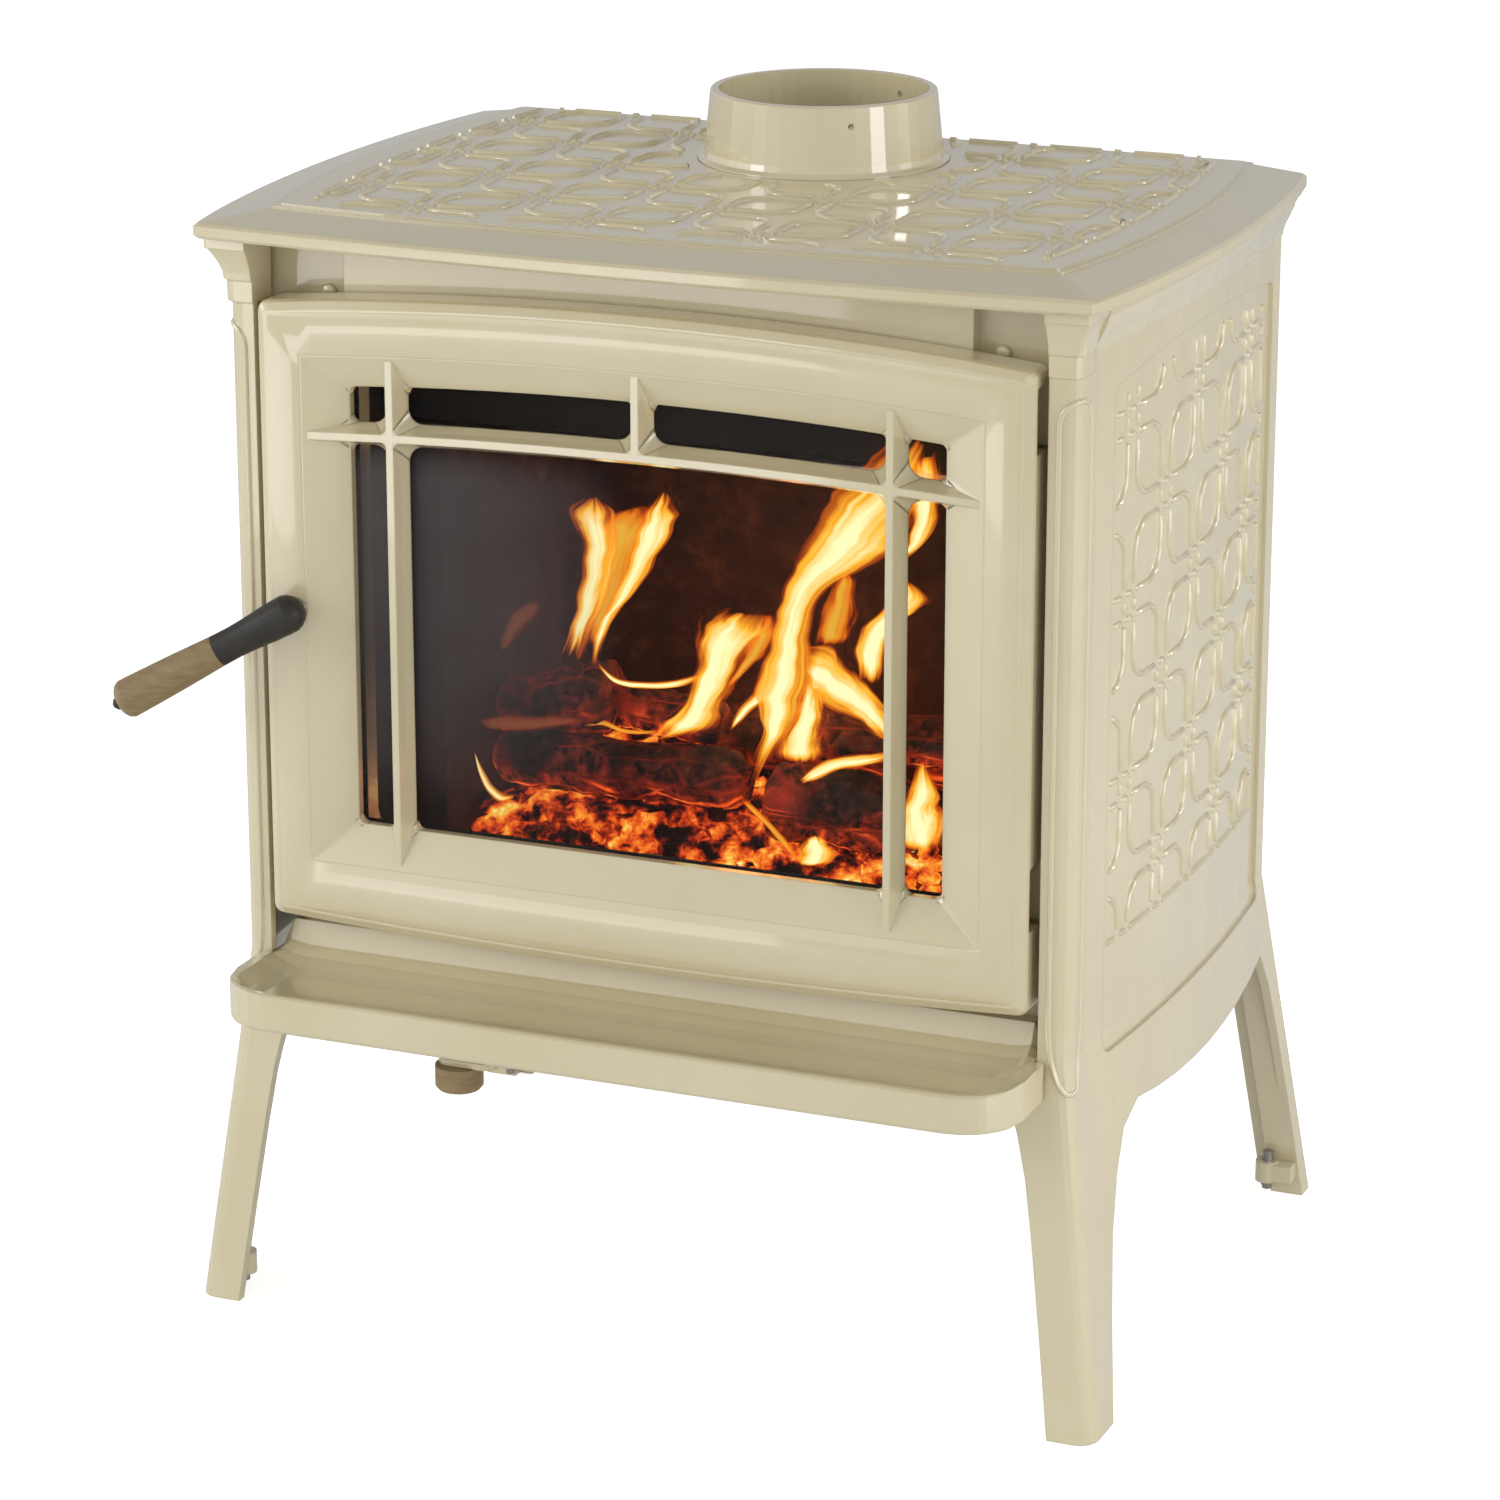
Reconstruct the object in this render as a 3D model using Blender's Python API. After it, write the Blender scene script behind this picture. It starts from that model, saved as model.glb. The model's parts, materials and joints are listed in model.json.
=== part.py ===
"""A free-standing cast iron wood stove, built piece by piece.

Units are metres, +Z is up and the door faces -Y. Every size below is written in the
stove's own frame: x = 0 is the middle of the body, y = 0 is the line between the front
corners of the top plate, and z = 0 is the floor. The empty called "stove" carries all
pieces, and places the bottom centre of the whole object's box at the world's origin.
"""

import math

import bmesh
import bpy
from mathutils import Matrix, Vector

# Where the middle of the body stands. The door handle reaches out past the left side,
# so the middle of the body lies right of the middle of the whole object.
CENTRE_X = 0.0125
CENTRE_Y = -0.2020

SEAT = 0.0003          # gap that touching pieces keep

# Body
BODY_HALF = 0.2894     # outer faces of the side castings
BODY_FRONT = 0.0180    # front face of the posts
BODY_REAR = 0.4280     # rear face of the posts
WEB = 0.0065           # wall of the castings
POST_WIDTH = 0.0198
POST_INNER = BODY_HALF - POST_WIDTH
POST_DEPTH = 0.0250
POST_CORNER = 0.0120   # rounding of the post's outer corner

# Top plate
PLATE_TOP = 0.7450
PLATE_EDGE = 0.0175    # from the underside to the top of the field
PLATE_BAND = 0.0100    # height of the rim's upright edge
PLATE_THICKNESS = 0.0100
PLATE_UNDERSIDE = PLATE_TOP - PLATE_EDGE
PLATE_HALF_FRONT = BODY_HALF + 0.0139
PLATE_HALF_REAR = BODY_HALF + 0.0153
PLATE_REAR = BODY_REAR + 0.0072
PLATE_SIDE_BOW = 0.0190
PLATE_FRONT_BOW = 0.0120
PLATE_ROUND = 0.0020
PLATE_SEAT_BAND = 0.0520
FIELD_MARGIN = 0.0343
FIELD_FRONT = 0.0430
FIELD_REAR = PLATE_REAR - 0.0102
FIELD_STEP = 0.0012
FIELD_STEP_WIDTH = 0.0040
BODY_TOP = PLATE_UNDERSIDE - SEAT

# Heads of the front posts
CAPITAL_HEIGHT = 0.0430
CAPITAL_FLARE = 0.0112

# Legs, which splay outwards below the knee
KNEE = 0.2450
SPLAY_OUT = 0.1250     # metres outwards for each metre below the knee
SPLAY_FRONT = 0.1050
SPLAY_REAR = 0.1550
FOOT_FRONT_WIDTH = 0.0310
FOOT_SIDE_DEPTH = 0.0360
LEG_FRONT_WIDTH = 0.0400
LEG_SPRING_DEPTH = 0.1066
LEG_SPRING_HEIGHT = 0.1890
REAR_BLOCK_WIDTH = 0.0230
REAR_BLOCK_DEPTH = 0.0140
REAR_FLANGE = 0.0100
REAR_SPRING = 0.0320
ARCH_DROP = 0.0110     # how far the side panel's lower edge sags in the middle
ARCH_END = 0.1930

# Front leg's side and front, as shares of the growth from the foot to the arch
LEG_SIDE_SHARES = ((0.36, 0.16), (0.61, 0.29), (0.80, 0.46), (0.94, 0.66), (1.0, 1.0))

# Sunk field of the side panels
PANEL_SINK = 0.0025
SIDE_FIELD_FRONT = BODY_FRONT + 0.0600
SIDE_FIELD_REAR = BODY_REAR - 0.0160
SIDE_FIELD_BOTTOM = 0.2320
SIDE_FIELD_TOP = BODY_TOP - 0.0592
SIDE_FIELD_CROWN = 0.0120

# Cove moulding along the top of the side panels
CORNICE_HEIGHT = 0.0320
CORNICE_REACH = 0.0105

# Levelling screws and the lugs that carry them
LUG_X = BODY_HALF + 0.0071
LUG_FRONT_Y = BODY_FRONT - 0.0021
LUG_REAR_Y = BODY_REAR + 0.0130
LUG_RADIUS = 0.0085
LUG_BOTTOM = 0.0120
LUG_TOP = 0.0270
LUG_FOOT = 0.0165
SCREW_RADIUS = 0.0035
SCREW_LENGTH = 0.0280
SCREW_BOTTOM = 0.0060
THREAD_GAP = 0.0003

# Flue collar
FLUE_Y = 0.3259
COLLAR_RIM_RADIUS = 0.0760
COLLAR_BASE_RADIUS = COLLAR_RIM_RADIUS + 0.0043
FLUE_BORE = COLLAR_RIM_RADIUS - 0.0055
SPIGOT_RADIUS = FLUE_BORE + 0.0030
COLLAR_TOP = PLATE_TOP + 0.0470
COLLAR_FOOT = 0.0040
COLLAR_RECESS = 0.0006 # the plate is sunk under the collar's foot
COLLAR_RECESS_RADIUS = COLLAR_BASE_RADIUS + COLLAR_FOOT + 0.0006
COLLAR_HOLE = 0.0020
COLLAR_HOLE_Z = COLLAR_TOP - 0.0130

# Door
DOOR_SIDE_GAP = 0.0057
DOOR_HALF = POST_INNER - DOOR_SIDE_GAP
DOOR_BOTTOM = 0.2755
DOOR_TOP = BODY_TOP - 0.0383
DOOR_CROWN = 0.0125
DOOR_BELLY = 0.0065
DOOR_FACE = BODY_FRONT - 0.0095
DOOR_THICKNESS = 0.0255
DOOR_BACK = DOOR_FACE + DOOR_THICKNESS
DOOR_CHAMFER = 0.0060
DOOR_CORNER = 0.0060
STILE = 0.0319         # flat face of the door's sides
PANEL_HALF = DOOR_HALF - STILE
PANEL_BOTTOM = DOOR_BOTTOM + 0.0420
PANEL_TOP = DOOR_TOP - 0.0335
PANEL_CROWN = 0.0090
BEVEL = 0.0285         # width of the sunk bevel at the sides
WINDOW_HALF = PANEL_HALF - BEVEL
WINDOW_BOTTOM = PANEL_BOTTOM + 0.0250
WINDOW_TOP = PANEL_TOP - 0.0195
WINDOW_CROWN = 0.0075
WINDOW_DEPTH = DOOR_BACK - 0.0130
WINDOW_CORNER = 0.0040
GLASS_SEAT = DOOR_BACK - 0.0070
GLASS_THICKNESS = 0.0050
GLASS_LAP = 0.0060
TAPE = 0.0012
REBATE = GLASS_LAP + 0.0005
GROOVE_INNER = REBATE + 0.0085
GROOVE_OUTER = GROOVE_INNER + 0.0125
GROOVE_DEPTH = 0.0050
ROPE_CLEARANCE = 0.0004
BAR_WIDTH = 0.0150
BAR_RIDGE = 0.0050
BAR_WAIST = 0.0085
BAR_FRONT = DOOR_FACE + 0.0012
BAR_WAIST_Y = BAR_FRONT + 0.0062
SIDE_BAR_X = WINDOW_HALF - 0.0331
CROSS_BAR_Z = WINDOW_TOP - 0.0325
CROSS_BAR_RISE = 0.0070
CLIP_WIDTH = 0.0120
CLIP_OUTER = 0.0035
CLIP_THICKNESS = 0.0018
CLIP_HOLE = 0.0021

# Front casting, which the door closes on
LAND_FACE = DOOR_BACK + 0.0080
RAISED_FACE = DOOR_BACK + 0.0030
FRONT_FACE = DOOR_BACK + 0.0140
FRONT_BACK = FRONT_FACE + 0.0080
FRONT_HALF = BODY_HALF - WEB - 2 * SEAT
FRONT_BOTTOM = 0.2150
FRONT_NOTCH_HALF = POST_INNER - 0.0116
FRONT_NOTCH_TOP = DOOR_BOTTOM + 0.0005
DOORWAY_HALF = WINDOW_HALF + 0.0040
DOORWAY_BOTTOM = WINDOW_BOTTOM - 0.0130
DOORWAY_TOP = WINDOW_TOP + 0.0200
DOORWAY_CORNER = 0.0120
LAND_HALF = WINDOW_HALF + GROOVE_OUTER + 0.0010
LAND_BOTTOM = WINDOW_BOTTOM - GROOVE_OUTER - 0.0040
LAND_TOP = WINDOW_TOP + WINDOW_CROWN + GROOVE_OUTER + 0.0030
RAISED_HALF = LAND_HALF - 0.0180
FRONT_SCREW_X = DOOR_HALF - 0.0342
FRONT_SCREW_Z = DOOR_TOP + 0.0011

# Hinges on the door's right edge
HINGE_X = DOOR_HALF - 0.0157
HINGE_Y = DOOR_BACK - 0.0105
HINGE_HEIGHTS = {"upper": DOOR_TOP - 0.0321, "lower": DOOR_BOTTOM + 0.0758}
PAD_HEIGHT = 0.0415
PAD_LEFT = LAND_HALF + 0.0050
PAD_RIGHT = POST_INNER - 0.0012
PAD_FACE = DOOR_BACK + 0.0078
KNUCKLE_RADIUS = 0.0080
KNUCKLE_HEIGHT = 0.0400
KNUCKLE_GAP = 0.0008
HINGE_ARM = 0.0080
PIN_RADIUS = 0.0030
PIN_LENGTH = 0.0580
PIN_GAP = 0.0003

# Latch and handle
LATCH_X = -(DOOR_HALF - 0.0243)
LATCH_Z = DOOR_BOTTOM + 0.2116
SPINDLE_RADIUS = 0.0050
SPINDLE_GAP = 0.0004
COLLAR_LENGTH = 0.0050
COLLAR_RADIUS = 0.0085
BALL_Y = DOOR_FACE - 0.0145
BALL_RADIUS = 0.0130
NECK_RADIUS = 0.0105
JOINT_RADIUS = 0.0107
GRIP_RADIUS = 0.0131
FERRULE_LENGTH = 0.0510
GRIP_LENGTH = 0.0750
HANDLE_DIRECTION = Vector((-0.825, -0.292, -0.484)).normalized()
GRIP_BOLT_RADIUS = 0.0030
GRIP_BOLT_DEPTH = 0.0320
GRIP_NUT_RADIUS = 0.0045
GRIP_NUT_HEIGHT = 0.0040
CAM_GAP = 0.0013
CAM_HUB = 0.0064
CAM_REACH = 0.0220
CAM_WIDTH = 0.0100
CAM_THICKNESS = 0.0050
CAM_NUT_RADIUS = 0.0078
CAM_NUT_HEIGHT = 0.0040
LATCH_HOLE_LEFT = LATCH_X - CAM_REACH - 0.0044
LATCH_HOLE_RIGHT = LATCH_X + CAM_HUB + 0.0010
LATCH_HOLE_HALF = 0.0125
CATCH_THICKNESS = 0.0030
CATCH_HEIGHT = 0.0220
CATCH_SCREW = 0.0024

# Ash lip
LIP_HALF = BODY_HALF - 0.0144
LIP_FRONT = BODY_FRONT - 0.0800
LIP_BOTTOM = 0.2205
LIP_RIM = LIP_BOTTOM + 0.0255
LIP_WALL = 0.0070
LIP_CORNER = 0.0400
LIP_BASIN = LIP_BOTTOM + 0.0165
LIP_FLOOR = 0.0065
LIP_BACK_TOP = DOOR_BOTTOM - 0.0115
LIP_BACK_HALF = POST_INNER - 0.0012
SHOULDER_HALF = POST_INNER - 0.0211
SHOULDER = LIP_BOTTOM - SEAT

# Firebox
BOX_HALF = BODY_HALF - 0.0654
BOX_WALL = 0.0050
BOX_REAR = BODY_REAR - 0.0230
BOX_BOTTOM = 0.2300
BOX_TOP = PLATE_TOP - 0.0450
BRICK = 0.0300
FLOOR_BRICK = 0.0250
BRICK_TOP = BOX_TOP - 0.1200
BRICK_GAP = 0.0006
AIR_INLET_Y = 0.1000
AIR_INLET_HALF = 0.0500
BRICK_FRONT = AIR_INLET_Y + 0.0210
TUBE_RADIUS = 0.0095
TUBE_WALL = 0.0015
TUBE_YS = {"front": 0.1150, "middle": 0.1900, "rear": 0.2650}
BAFFLE_THICKNESS = 0.0250
BAFFLE_FRONT = 0.0950
BACK_FACE = BOX_REAR + 0.0060
SIDE_BOW = 0.0095      # how far the side panels bulge between front and rear casting
BOW_FRONT = FRONT_BACK - 0.0040
BOW_REAR = BACK_FACE + 0.0020
BOW_LEVEL = LEG_SPRING_HEIGHT
BOW_FADE = 0.1100
RIB_X = 0.1300
RIB_WIDTH = 0.0080
RIB_HEIGHT = 0.0050
RIB_MARGIN = 0.0300

# Air control under the firebox
AIR_BOX_HALF = 0.0900
AIR_BOX_FRONT = AIR_INLET_Y - 0.0300
AIR_BOX_REAR = AIR_INLET_Y + 0.1300
AIR_BOX_BOTTOM = BOX_BOTTOM - 0.0162
AIR_BOX_WALL = 0.0020
AIR_PIVOT_X = -0.0300
AIR_PIVOT_Y = AIR_INLET_Y + 0.0500
AIR_PIVOT_RADIUS = 0.0040
AIR_HEAD_RADIUS = 0.0065
AIR_HEAD_HEIGHT = 0.0045
AIR_HOLE_HALF_X = 0.0150
AIR_HOLE_HALF_Y = 0.0120
GATE_THICKNESS = 0.0027
GATE_RADIUS = 0.0720
GATE_HUB = 0.0100
LEVER_TOP = AIR_BOX_BOTTOM - 2 * SEAT - GATE_THICKNESS
LEVER_THICKNESS = 0.0045
LEVER_WIDTH = 0.0160
KNOB_X = -0.1094
KNOB_Y = BODY_FRONT - 0.0480
KNOB_RADIUS = 0.0158
KNOB_BOTTOM = LEVER_TOP - 0.0222
TAB_RIGHT = KNOB_X + 0.0279
TAB_LEFT = KNOB_X - 0.0136
SHIELD_Z = BOX_BOTTOM - 0.0325
SHIELD_THICKNESS = 0.0015
SHIELD_HALF = BOX_HALF + 0.0160
SHIELD_FRONT = 0.0700
SHIELD_REAR = BOX_REAR - 0.0100
STANDOFF_RADIUS = 0.0060
STANDOFF_X = BOX_HALF - 0.0340
STANDOFF_YS = (SHIELD_FRONT + 0.0300, SHIELD_REAR - 0.0350)

ROUND = 24             # sides of a medium round piece
ROUND_SMALL = 14
ROUND_LARGE = 48


def clear_scene():
    for item in list(bpy.data.objects):
        bpy.data.objects.remove(item, do_unlink=True)


def make_material(name, colour, roughness, metallic=0.0):
    material = bpy.data.materials.new(name)
    material.use_nodes = True
    shader = material.node_tree.nodes["Principled BSDF"]
    shader.inputs["Base Color"].default_value = (*colour, 1.0)
    shader.inputs["Roughness"].default_value = roughness
    shader.inputs["Metallic"].default_value = metallic
    material.diffuse_color = (*colour, 1.0)
    return material


def make_materials():
    return {
        "enamel": make_material("cream_enamel", (0.66, 0.60, 0.43), 0.12),
        "glass": make_material("ceramic_glass", (0.02, 0.02, 0.02), 0.03),
        "steel": make_material("bare_steel", (0.35, 0.34, 0.33), 0.40, 1.0),
        "black": make_material("black_steel", (0.02, 0.018, 0.015), 0.55),
        "brick": make_material("firebrick", (0.50, 0.40, 0.28), 0.90),
        "board": make_material("insulating_board", (0.55, 0.50, 0.42), 0.95),
        "rope": make_material("rope_gasket", (0.45, 0.43, 0.38), 0.95),
        "wood": make_material("brown_grip", (0.27, 0.19, 0.09), 0.45),
    }


def solid(name, points, faces, material=None):
    """One object from points and faces, with its faces turned outwards."""
    mesh = bpy.data.meshes.new(name)
    body = bmesh.new()
    corners = [body.verts.new(point) for point in points]
    for face in faces:
        body.faces.new([corners[index] for index in face])
    bmesh.ops.recalc_face_normals(body, faces=body.faces)
    body.to_mesh(mesh)
    body.free()
    item = bpy.data.objects.new(name, mesh)
    bpy.context.collection.objects.link(item)
    if material:
        mesh.materials.append(material)
    return item


def loft(name, rings, material=None, closed=False):
    """Join rings of equal length, end to end, or round to the first ring."""
    count = len(rings[0])
    points = [point for ring in rings for point in ring]
    faces = []
    last = len(rings) if closed else len(rings) - 1
    for index in range(last):
        low = index * count
        high = ((index + 1) % len(rings)) * count
        for step in range(count):
            after = (step + 1) % count
            faces.append((low + step, low + after, high + after, high + step))
    if not closed:
        faces.append(tuple(range(count)))
        faces.append(tuple(range((len(rings) - 1) * count, len(rings) * count)))
    return solid(name, points, faces, material)


def prism(name, outline, axis, low, high, material=None):
    """Extrude an outline along X, Y or Z. It is given in the other two axes, in order."""
    def ring(depth):
        if axis == "X":
            return [(depth, a, b) for a, b in outline]
        if axis == "Y":
            return [(a, depth, b) for a, b in outline]
        return [(a, b, depth) for a, b in outline]
    return loft(name, [ring(low), ring(high)], material)


def block(name, low, high, material=None):
    outline = [(low[0], low[1]), (high[0], low[1]), (high[0], high[1]), (low[0], high[1])]
    return prism(name, outline, "Z", low[2], high[2], material)


def turned(name, profile, origin, direction, material=None, sides=ROUND):
    """Revolve (distance, radius) pairs about a line. A radius of 0 closes an end."""
    direction = Vector(direction).normalized()
    across = direction.orthogonal().normalized()
    upward = direction.cross(across)
    origin = Vector(origin)
    points = []
    rings = []
    for distance, radius in profile:
        centre = origin + direction * distance
        if radius == 0:
            rings.append([len(points)])
            points.append(centre)
            continue
        ring = []
        for step in range(sides):
            angle = 2 * math.pi * step / sides
            ring.append(len(points))
            points.append(centre + radius * (math.cos(angle) * across + math.sin(angle) * upward))
        rings.append(ring)
    faces = []
    for low, high in zip(rings, rings[1:]):
        for step in range(sides):
            after = (step + 1) % sides
            if len(low) == 1:
                faces.append((low[0], high[after], high[step]))
            elif len(high) == 1:
                faces.append((low[step], low[after], high[0]))
            else:
                faces.append((low[step], low[after], high[after], high[step]))
    if len(rings[0]) > 1:
        faces.append(tuple(rings[0]))
    if len(rings[-1]) > 1:
        faces.append(tuple(rings[-1]))
    return solid(name, points, faces, material)


def rod(name, start, end, radius, material=None, sides=ROUND_SMALL):
    start = Vector(start)
    line = Vector(end) - start
    return turned(name, [(0, radius), (line.length, radius)], start, line, material, sides)


def ring_solid(name, profile, origin, direction, material=None, sides=ROUND):
    """Revolve a closed (distance, radius) profile that stays clear of the axis."""
    direction = Vector(direction).normalized()
    across = direction.orthogonal().normalized()
    upward = direction.cross(across)
    rings = []
    for step in range(sides):
        angle = 2 * math.pi * step / sides
        spoke = math.cos(angle) * across + math.sin(angle) * upward
        rings.append([Vector(origin) + direction * d + spoke * r for d, r in profile])
    return loft(name, rings, material, closed=True)


def combine(base, others, operation):
    """Join or cut solids, keep the result in the base, and remove the others."""
    for other in others:
        change = base.modifiers.new(operation, "BOOLEAN")
        change.operation = operation
        change.solver = "EXACT"
        change.object = other
        graph = bpy.context.evaluated_depsgraph_get()
        result = bpy.data.meshes.new_from_object(base.evaluated_get(graph))
        base.modifiers.remove(change)
        old = base.data
        result.name = old.name
        base.data = result
        bpy.data.meshes.remove(old)
        bpy.data.objects.remove(other, do_unlink=True)
    return base


def cut(base, *others):
    return combine(base, others, "DIFFERENCE")


def join(base, *others):
    return combine(base, others, "UNION")


def arc(centre, radius, start, end, steps):
    """Points on a circle between two angles in degrees, both ends included."""
    points = []
    for step in range(steps + 1):
        angle = math.radians(start + (end - start) * step / steps)
        points.append((centre[0] + radius * math.cos(angle), centre[1] + radius * math.sin(angle)))
    return points


def arched_outline(half, bottom, top, crown, belly=0.0, corner=0.0005, steps=12, bend=3):
    """A rounded rectangle whose top edge rises, and bottom edge drops, in the middle."""
    def bulge(x, amount):
        return amount * (1 - (x / half) ** 2)
    inner = half - corner
    outline = []
    for step in range(1, steps):
        x = -inner + 2 * inner * step / steps
        outline.append((x, bottom - bulge(x, belly)))
    outline += arc((inner, bottom + corner), corner, -90, 0, bend)
    outline += arc((inner, top - corner), corner, 0, 90, bend)
    for step in range(1, steps):
        x = inner - 2 * inner * step / steps
        outline.append((x, top + bulge(x, crown)))
    outline += arc((-inner, top - corner), corner, 90, 180, bend)
    outline += arc((-inner, bottom + corner), corner, 180, 270, bend)
    return outline


def window_outline(margin, **settings):
    """The door window's outline, grown by a margin."""
    return arched_outline(WINDOW_HALF + margin, WINDOW_BOTTOM - margin,
                          WINDOW_TOP + margin, WINDOW_CROWN, **settings)


def at_depth(outline, y):
    return [(x, y, z) for x, z in outline]


def at_height(outline, z):
    return [(x, y, z) for x, y in outline]


def splay_side(item):
    """Lean the legs outwards below the knee, and forwards or backwards with them."""
    body = bmesh.new()
    body.from_mesh(item.data)
    bmesh.ops.bisect_plane(body, geom=body.verts[:] + body.edges[:] + body.faces[:],
                           dist=1e-6, plane_co=(0, 0, KNEE), plane_no=(0, 0, 1))
    for corner in body.verts:
        drop = max(0.0, KNEE - corner.co.z)
        share = (corner.co.y - BODY_FRONT) / (BODY_REAR - BODY_FRONT)
        corner.co.x += SPLAY_OUT * drop
        corner.co.y += drop * (SPLAY_REAR * share - SPLAY_FRONT * (1 - share))
    body.to_mesh(item.data)
    body.free()


def side_outline():
    """The side web in Y and Z: the panel, the arch under it and both legs' sides."""
    rear_front_edge = BODY_REAR - REAR_BLOCK_DEPTH
    outline = [(BODY_FRONT, BODY_TOP), (BODY_FRONT, 0.0), (BODY_FRONT + FOOT_SIDE_DEPTH, 0.0)]
    for height, growth in LEG_SIDE_SHARES:
        depth = FOOT_SIDE_DEPTH + growth * (LEG_SPRING_DEPTH - FOOT_SIDE_DEPTH)
        outline.append((BODY_FRONT + depth, height * LEG_SPRING_HEIGHT))
    start = BODY_FRONT + LEG_SPRING_DEPTH
    end = BODY_REAR - REAR_SPRING
    for step in range(1, 8):
        share = step / 8
        level = LEG_SPRING_HEIGHT + (ARCH_END - LEG_SPRING_HEIGHT) * share
        outline.append((start + (end - start) * share, level - ARCH_DROP * 4 * share * (1 - share)))
    gap = rear_front_edge - end
    outline += [(end, ARCH_END), (end + 0.67 * gap, 0.86 * ARCH_END),
                (end + 0.89 * gap, 0.67 * ARCH_END), (rear_front_edge, 0.41 * ARCH_END),
                (rear_front_edge, 0.0), (BODY_REAR, 0.0), (BODY_REAR, BODY_TOP)]
    return outline


def front_web_outline():
    """The front post and leg in X and Z, seen from the front."""
    foot = BODY_HALF - FOOT_FRONT_WIDTH
    leg = BODY_HALF - LEG_FRONT_WIDTH
    return [(POST_INNER, BODY_TOP), (POST_INNER, SHOULDER), (SHOULDER_HALF, SHOULDER),
            (SHOULDER_HALF + 0.0010, 0.965 * SHOULDER), (leg + 0.0035, 0.890 * SHOULDER),
            (leg + 0.75 * (foot - leg), 0.76 * SHOULDER), (foot - 0.0010, 0.58 * SHOULDER),
            (foot - 0.0003, 0.32 * SHOULDER), (foot, 0.0), (BODY_HALF, 0.0),
            (BODY_HALF, BODY_TOP)]


def round_post_corner(item):
    """Round the outer front corner from the foot to the post's head."""
    body = bmesh.new()
    body.from_mesh(item.data)
    bmesh.ops.dissolve_limit(body, angle_limit=0.001, verts=body.verts, edges=body.edges)
    edges = [edge for edge in body.edges
             if all(abs(end.co.x - BODY_HALF) < 1e-5 and abs(end.co.y - BODY_FRONT) < 1e-5
                    for end in edge.verts)]
    bmesh.ops.bevel(body, geom=edges, offset=POST_CORNER, segments=4, profile=0.5,
                    affect="EDGES", clamp_overlap=False)
    body.to_mesh(item.data)
    body.free()


def post_capital():
    """The flared head of the front post, which steps out under the top plate."""
    rear = BODY_FRONT + POST_DEPTH
    stations = [(0.0, 0.02), (0.02, 0.10), (0.33, 0.12), (0.35, 0.24), (0.46, 0.28),
                (0.60, 0.45), (0.74, 0.70), (0.84, 0.90), (0.84, 0.98), (1.0, 1.0)]
    rings = []
    for share, growth in stations:
        height = BODY_TOP - CAPITAL_HEIGHT * (1 - share)
        flare = CAPITAL_FLARE * growth
        outer = BODY_HALF + 0.85 * flare
        front = BODY_FRONT - flare
        back = rear + 0.2 * flare
        corner = 0.0020 + 0.0060 * (1 - growth)
        ring = [(POST_INNER, front, height)]
        ring += [(x, y, height) for x, y in
                 arc((outer - corner, front + corner), corner, -90, 0, 3)]
        ring += [(outer, back, height), (POST_INNER, back, height)]
        rings.append(ring)
    return loft("capital", rings)


def lug(y, toward):
    """A screw boss in the corner of a leg, with an arm to each of the leg's webs."""
    boss = rod("lug", (LUG_X, y, LUG_BOTTOM), (LUG_X, y, LUG_TOP), LUG_RADIUS)
    reach = BODY_HALF + SPLAY_OUT * (KNEE - LUG_BOTTOM) - WEB / 2
    arm = block("arm", (LUG_X, y - LUG_RADIUS * 0.8, LUG_BOTTOM + 0.0010),
                (reach, y + LUG_RADIUS * 0.8, LUG_TOP - 0.0010))
    across = sorted((y, y + toward * LUG_FOOT))
    foot = block("foot", (LUG_X - LUG_RADIUS * 0.7, across[0], LUG_BOTTOM + 0.0015),
                 (LUG_X + LUG_RADIUS * 0.7, across[1], LUG_TOP - 0.0015))
    return [boss, arm, foot]


def bow_at(y, z):
    """How far the side panel bulges outwards at a point."""
    if not BOW_FRONT < y < BOW_REAR:
        return 0.0
    share = (2 * y - BOW_FRONT - BOW_REAR) / (BOW_REAR - BOW_FRONT)
    fade = min(max((z - BOW_LEVEL + BOW_FADE) / BOW_FADE, 0.0), 1.0)
    return SIDE_BOW * (1 - share * share) * fade


def bow_side(item):
    """Bulge the side panel outwards in a shallow curve."""
    body = bmesh.new()
    body.from_mesh(item.data)
    for step in range(9):
        y = BOW_FRONT + (BOW_REAR - BOW_FRONT) * step / 8
        bmesh.ops.bisect_plane(body, geom=body.verts[:] + body.edges[:] + body.faces[:],
                               dist=1e-6, plane_co=(0, y, 0), plane_no=(0, 1, 0))
    for corner in body.verts:
        if corner.co.x > BODY_HALF - WEB - 1e-4:
            corner.co.x += bow_at(corner.co.y, corner.co.z)
    body.to_mesh(item.data)
    body.free()


def side_cornice():
    """The cove moulding that carries the top plate's edge along the side."""
    profile = [(0.0, -0.15), (0.04, 0.12), (0.14, 0.16), (0.28, 0.30), (0.50, 0.62),
               (0.66, 0.84), (0.79, 0.92), (0.79, 1.0), (1.0, 1.0)]
    front = BODY_FRONT + POST_DEPTH - 0.0010
    back = BODY_REAR - 0.0010
    top = BODY_TOP - SEAT
    rings = []
    for step in range(11):
        y = front + (back - front) * step / 10
        face = BODY_HALF + bow_at(y, BODY_TOP)
        ring = [(face + CORNICE_REACH * out, y, top - CORNICE_HEIGHT * (1 - up))
                for up, out in profile]
        ring += [(face - WEB / 2, y, top), (face - WEB / 2, y, top - CORNICE_HEIGHT)]
        rings.append(ring)
    return loft("cornice", rings)


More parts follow.
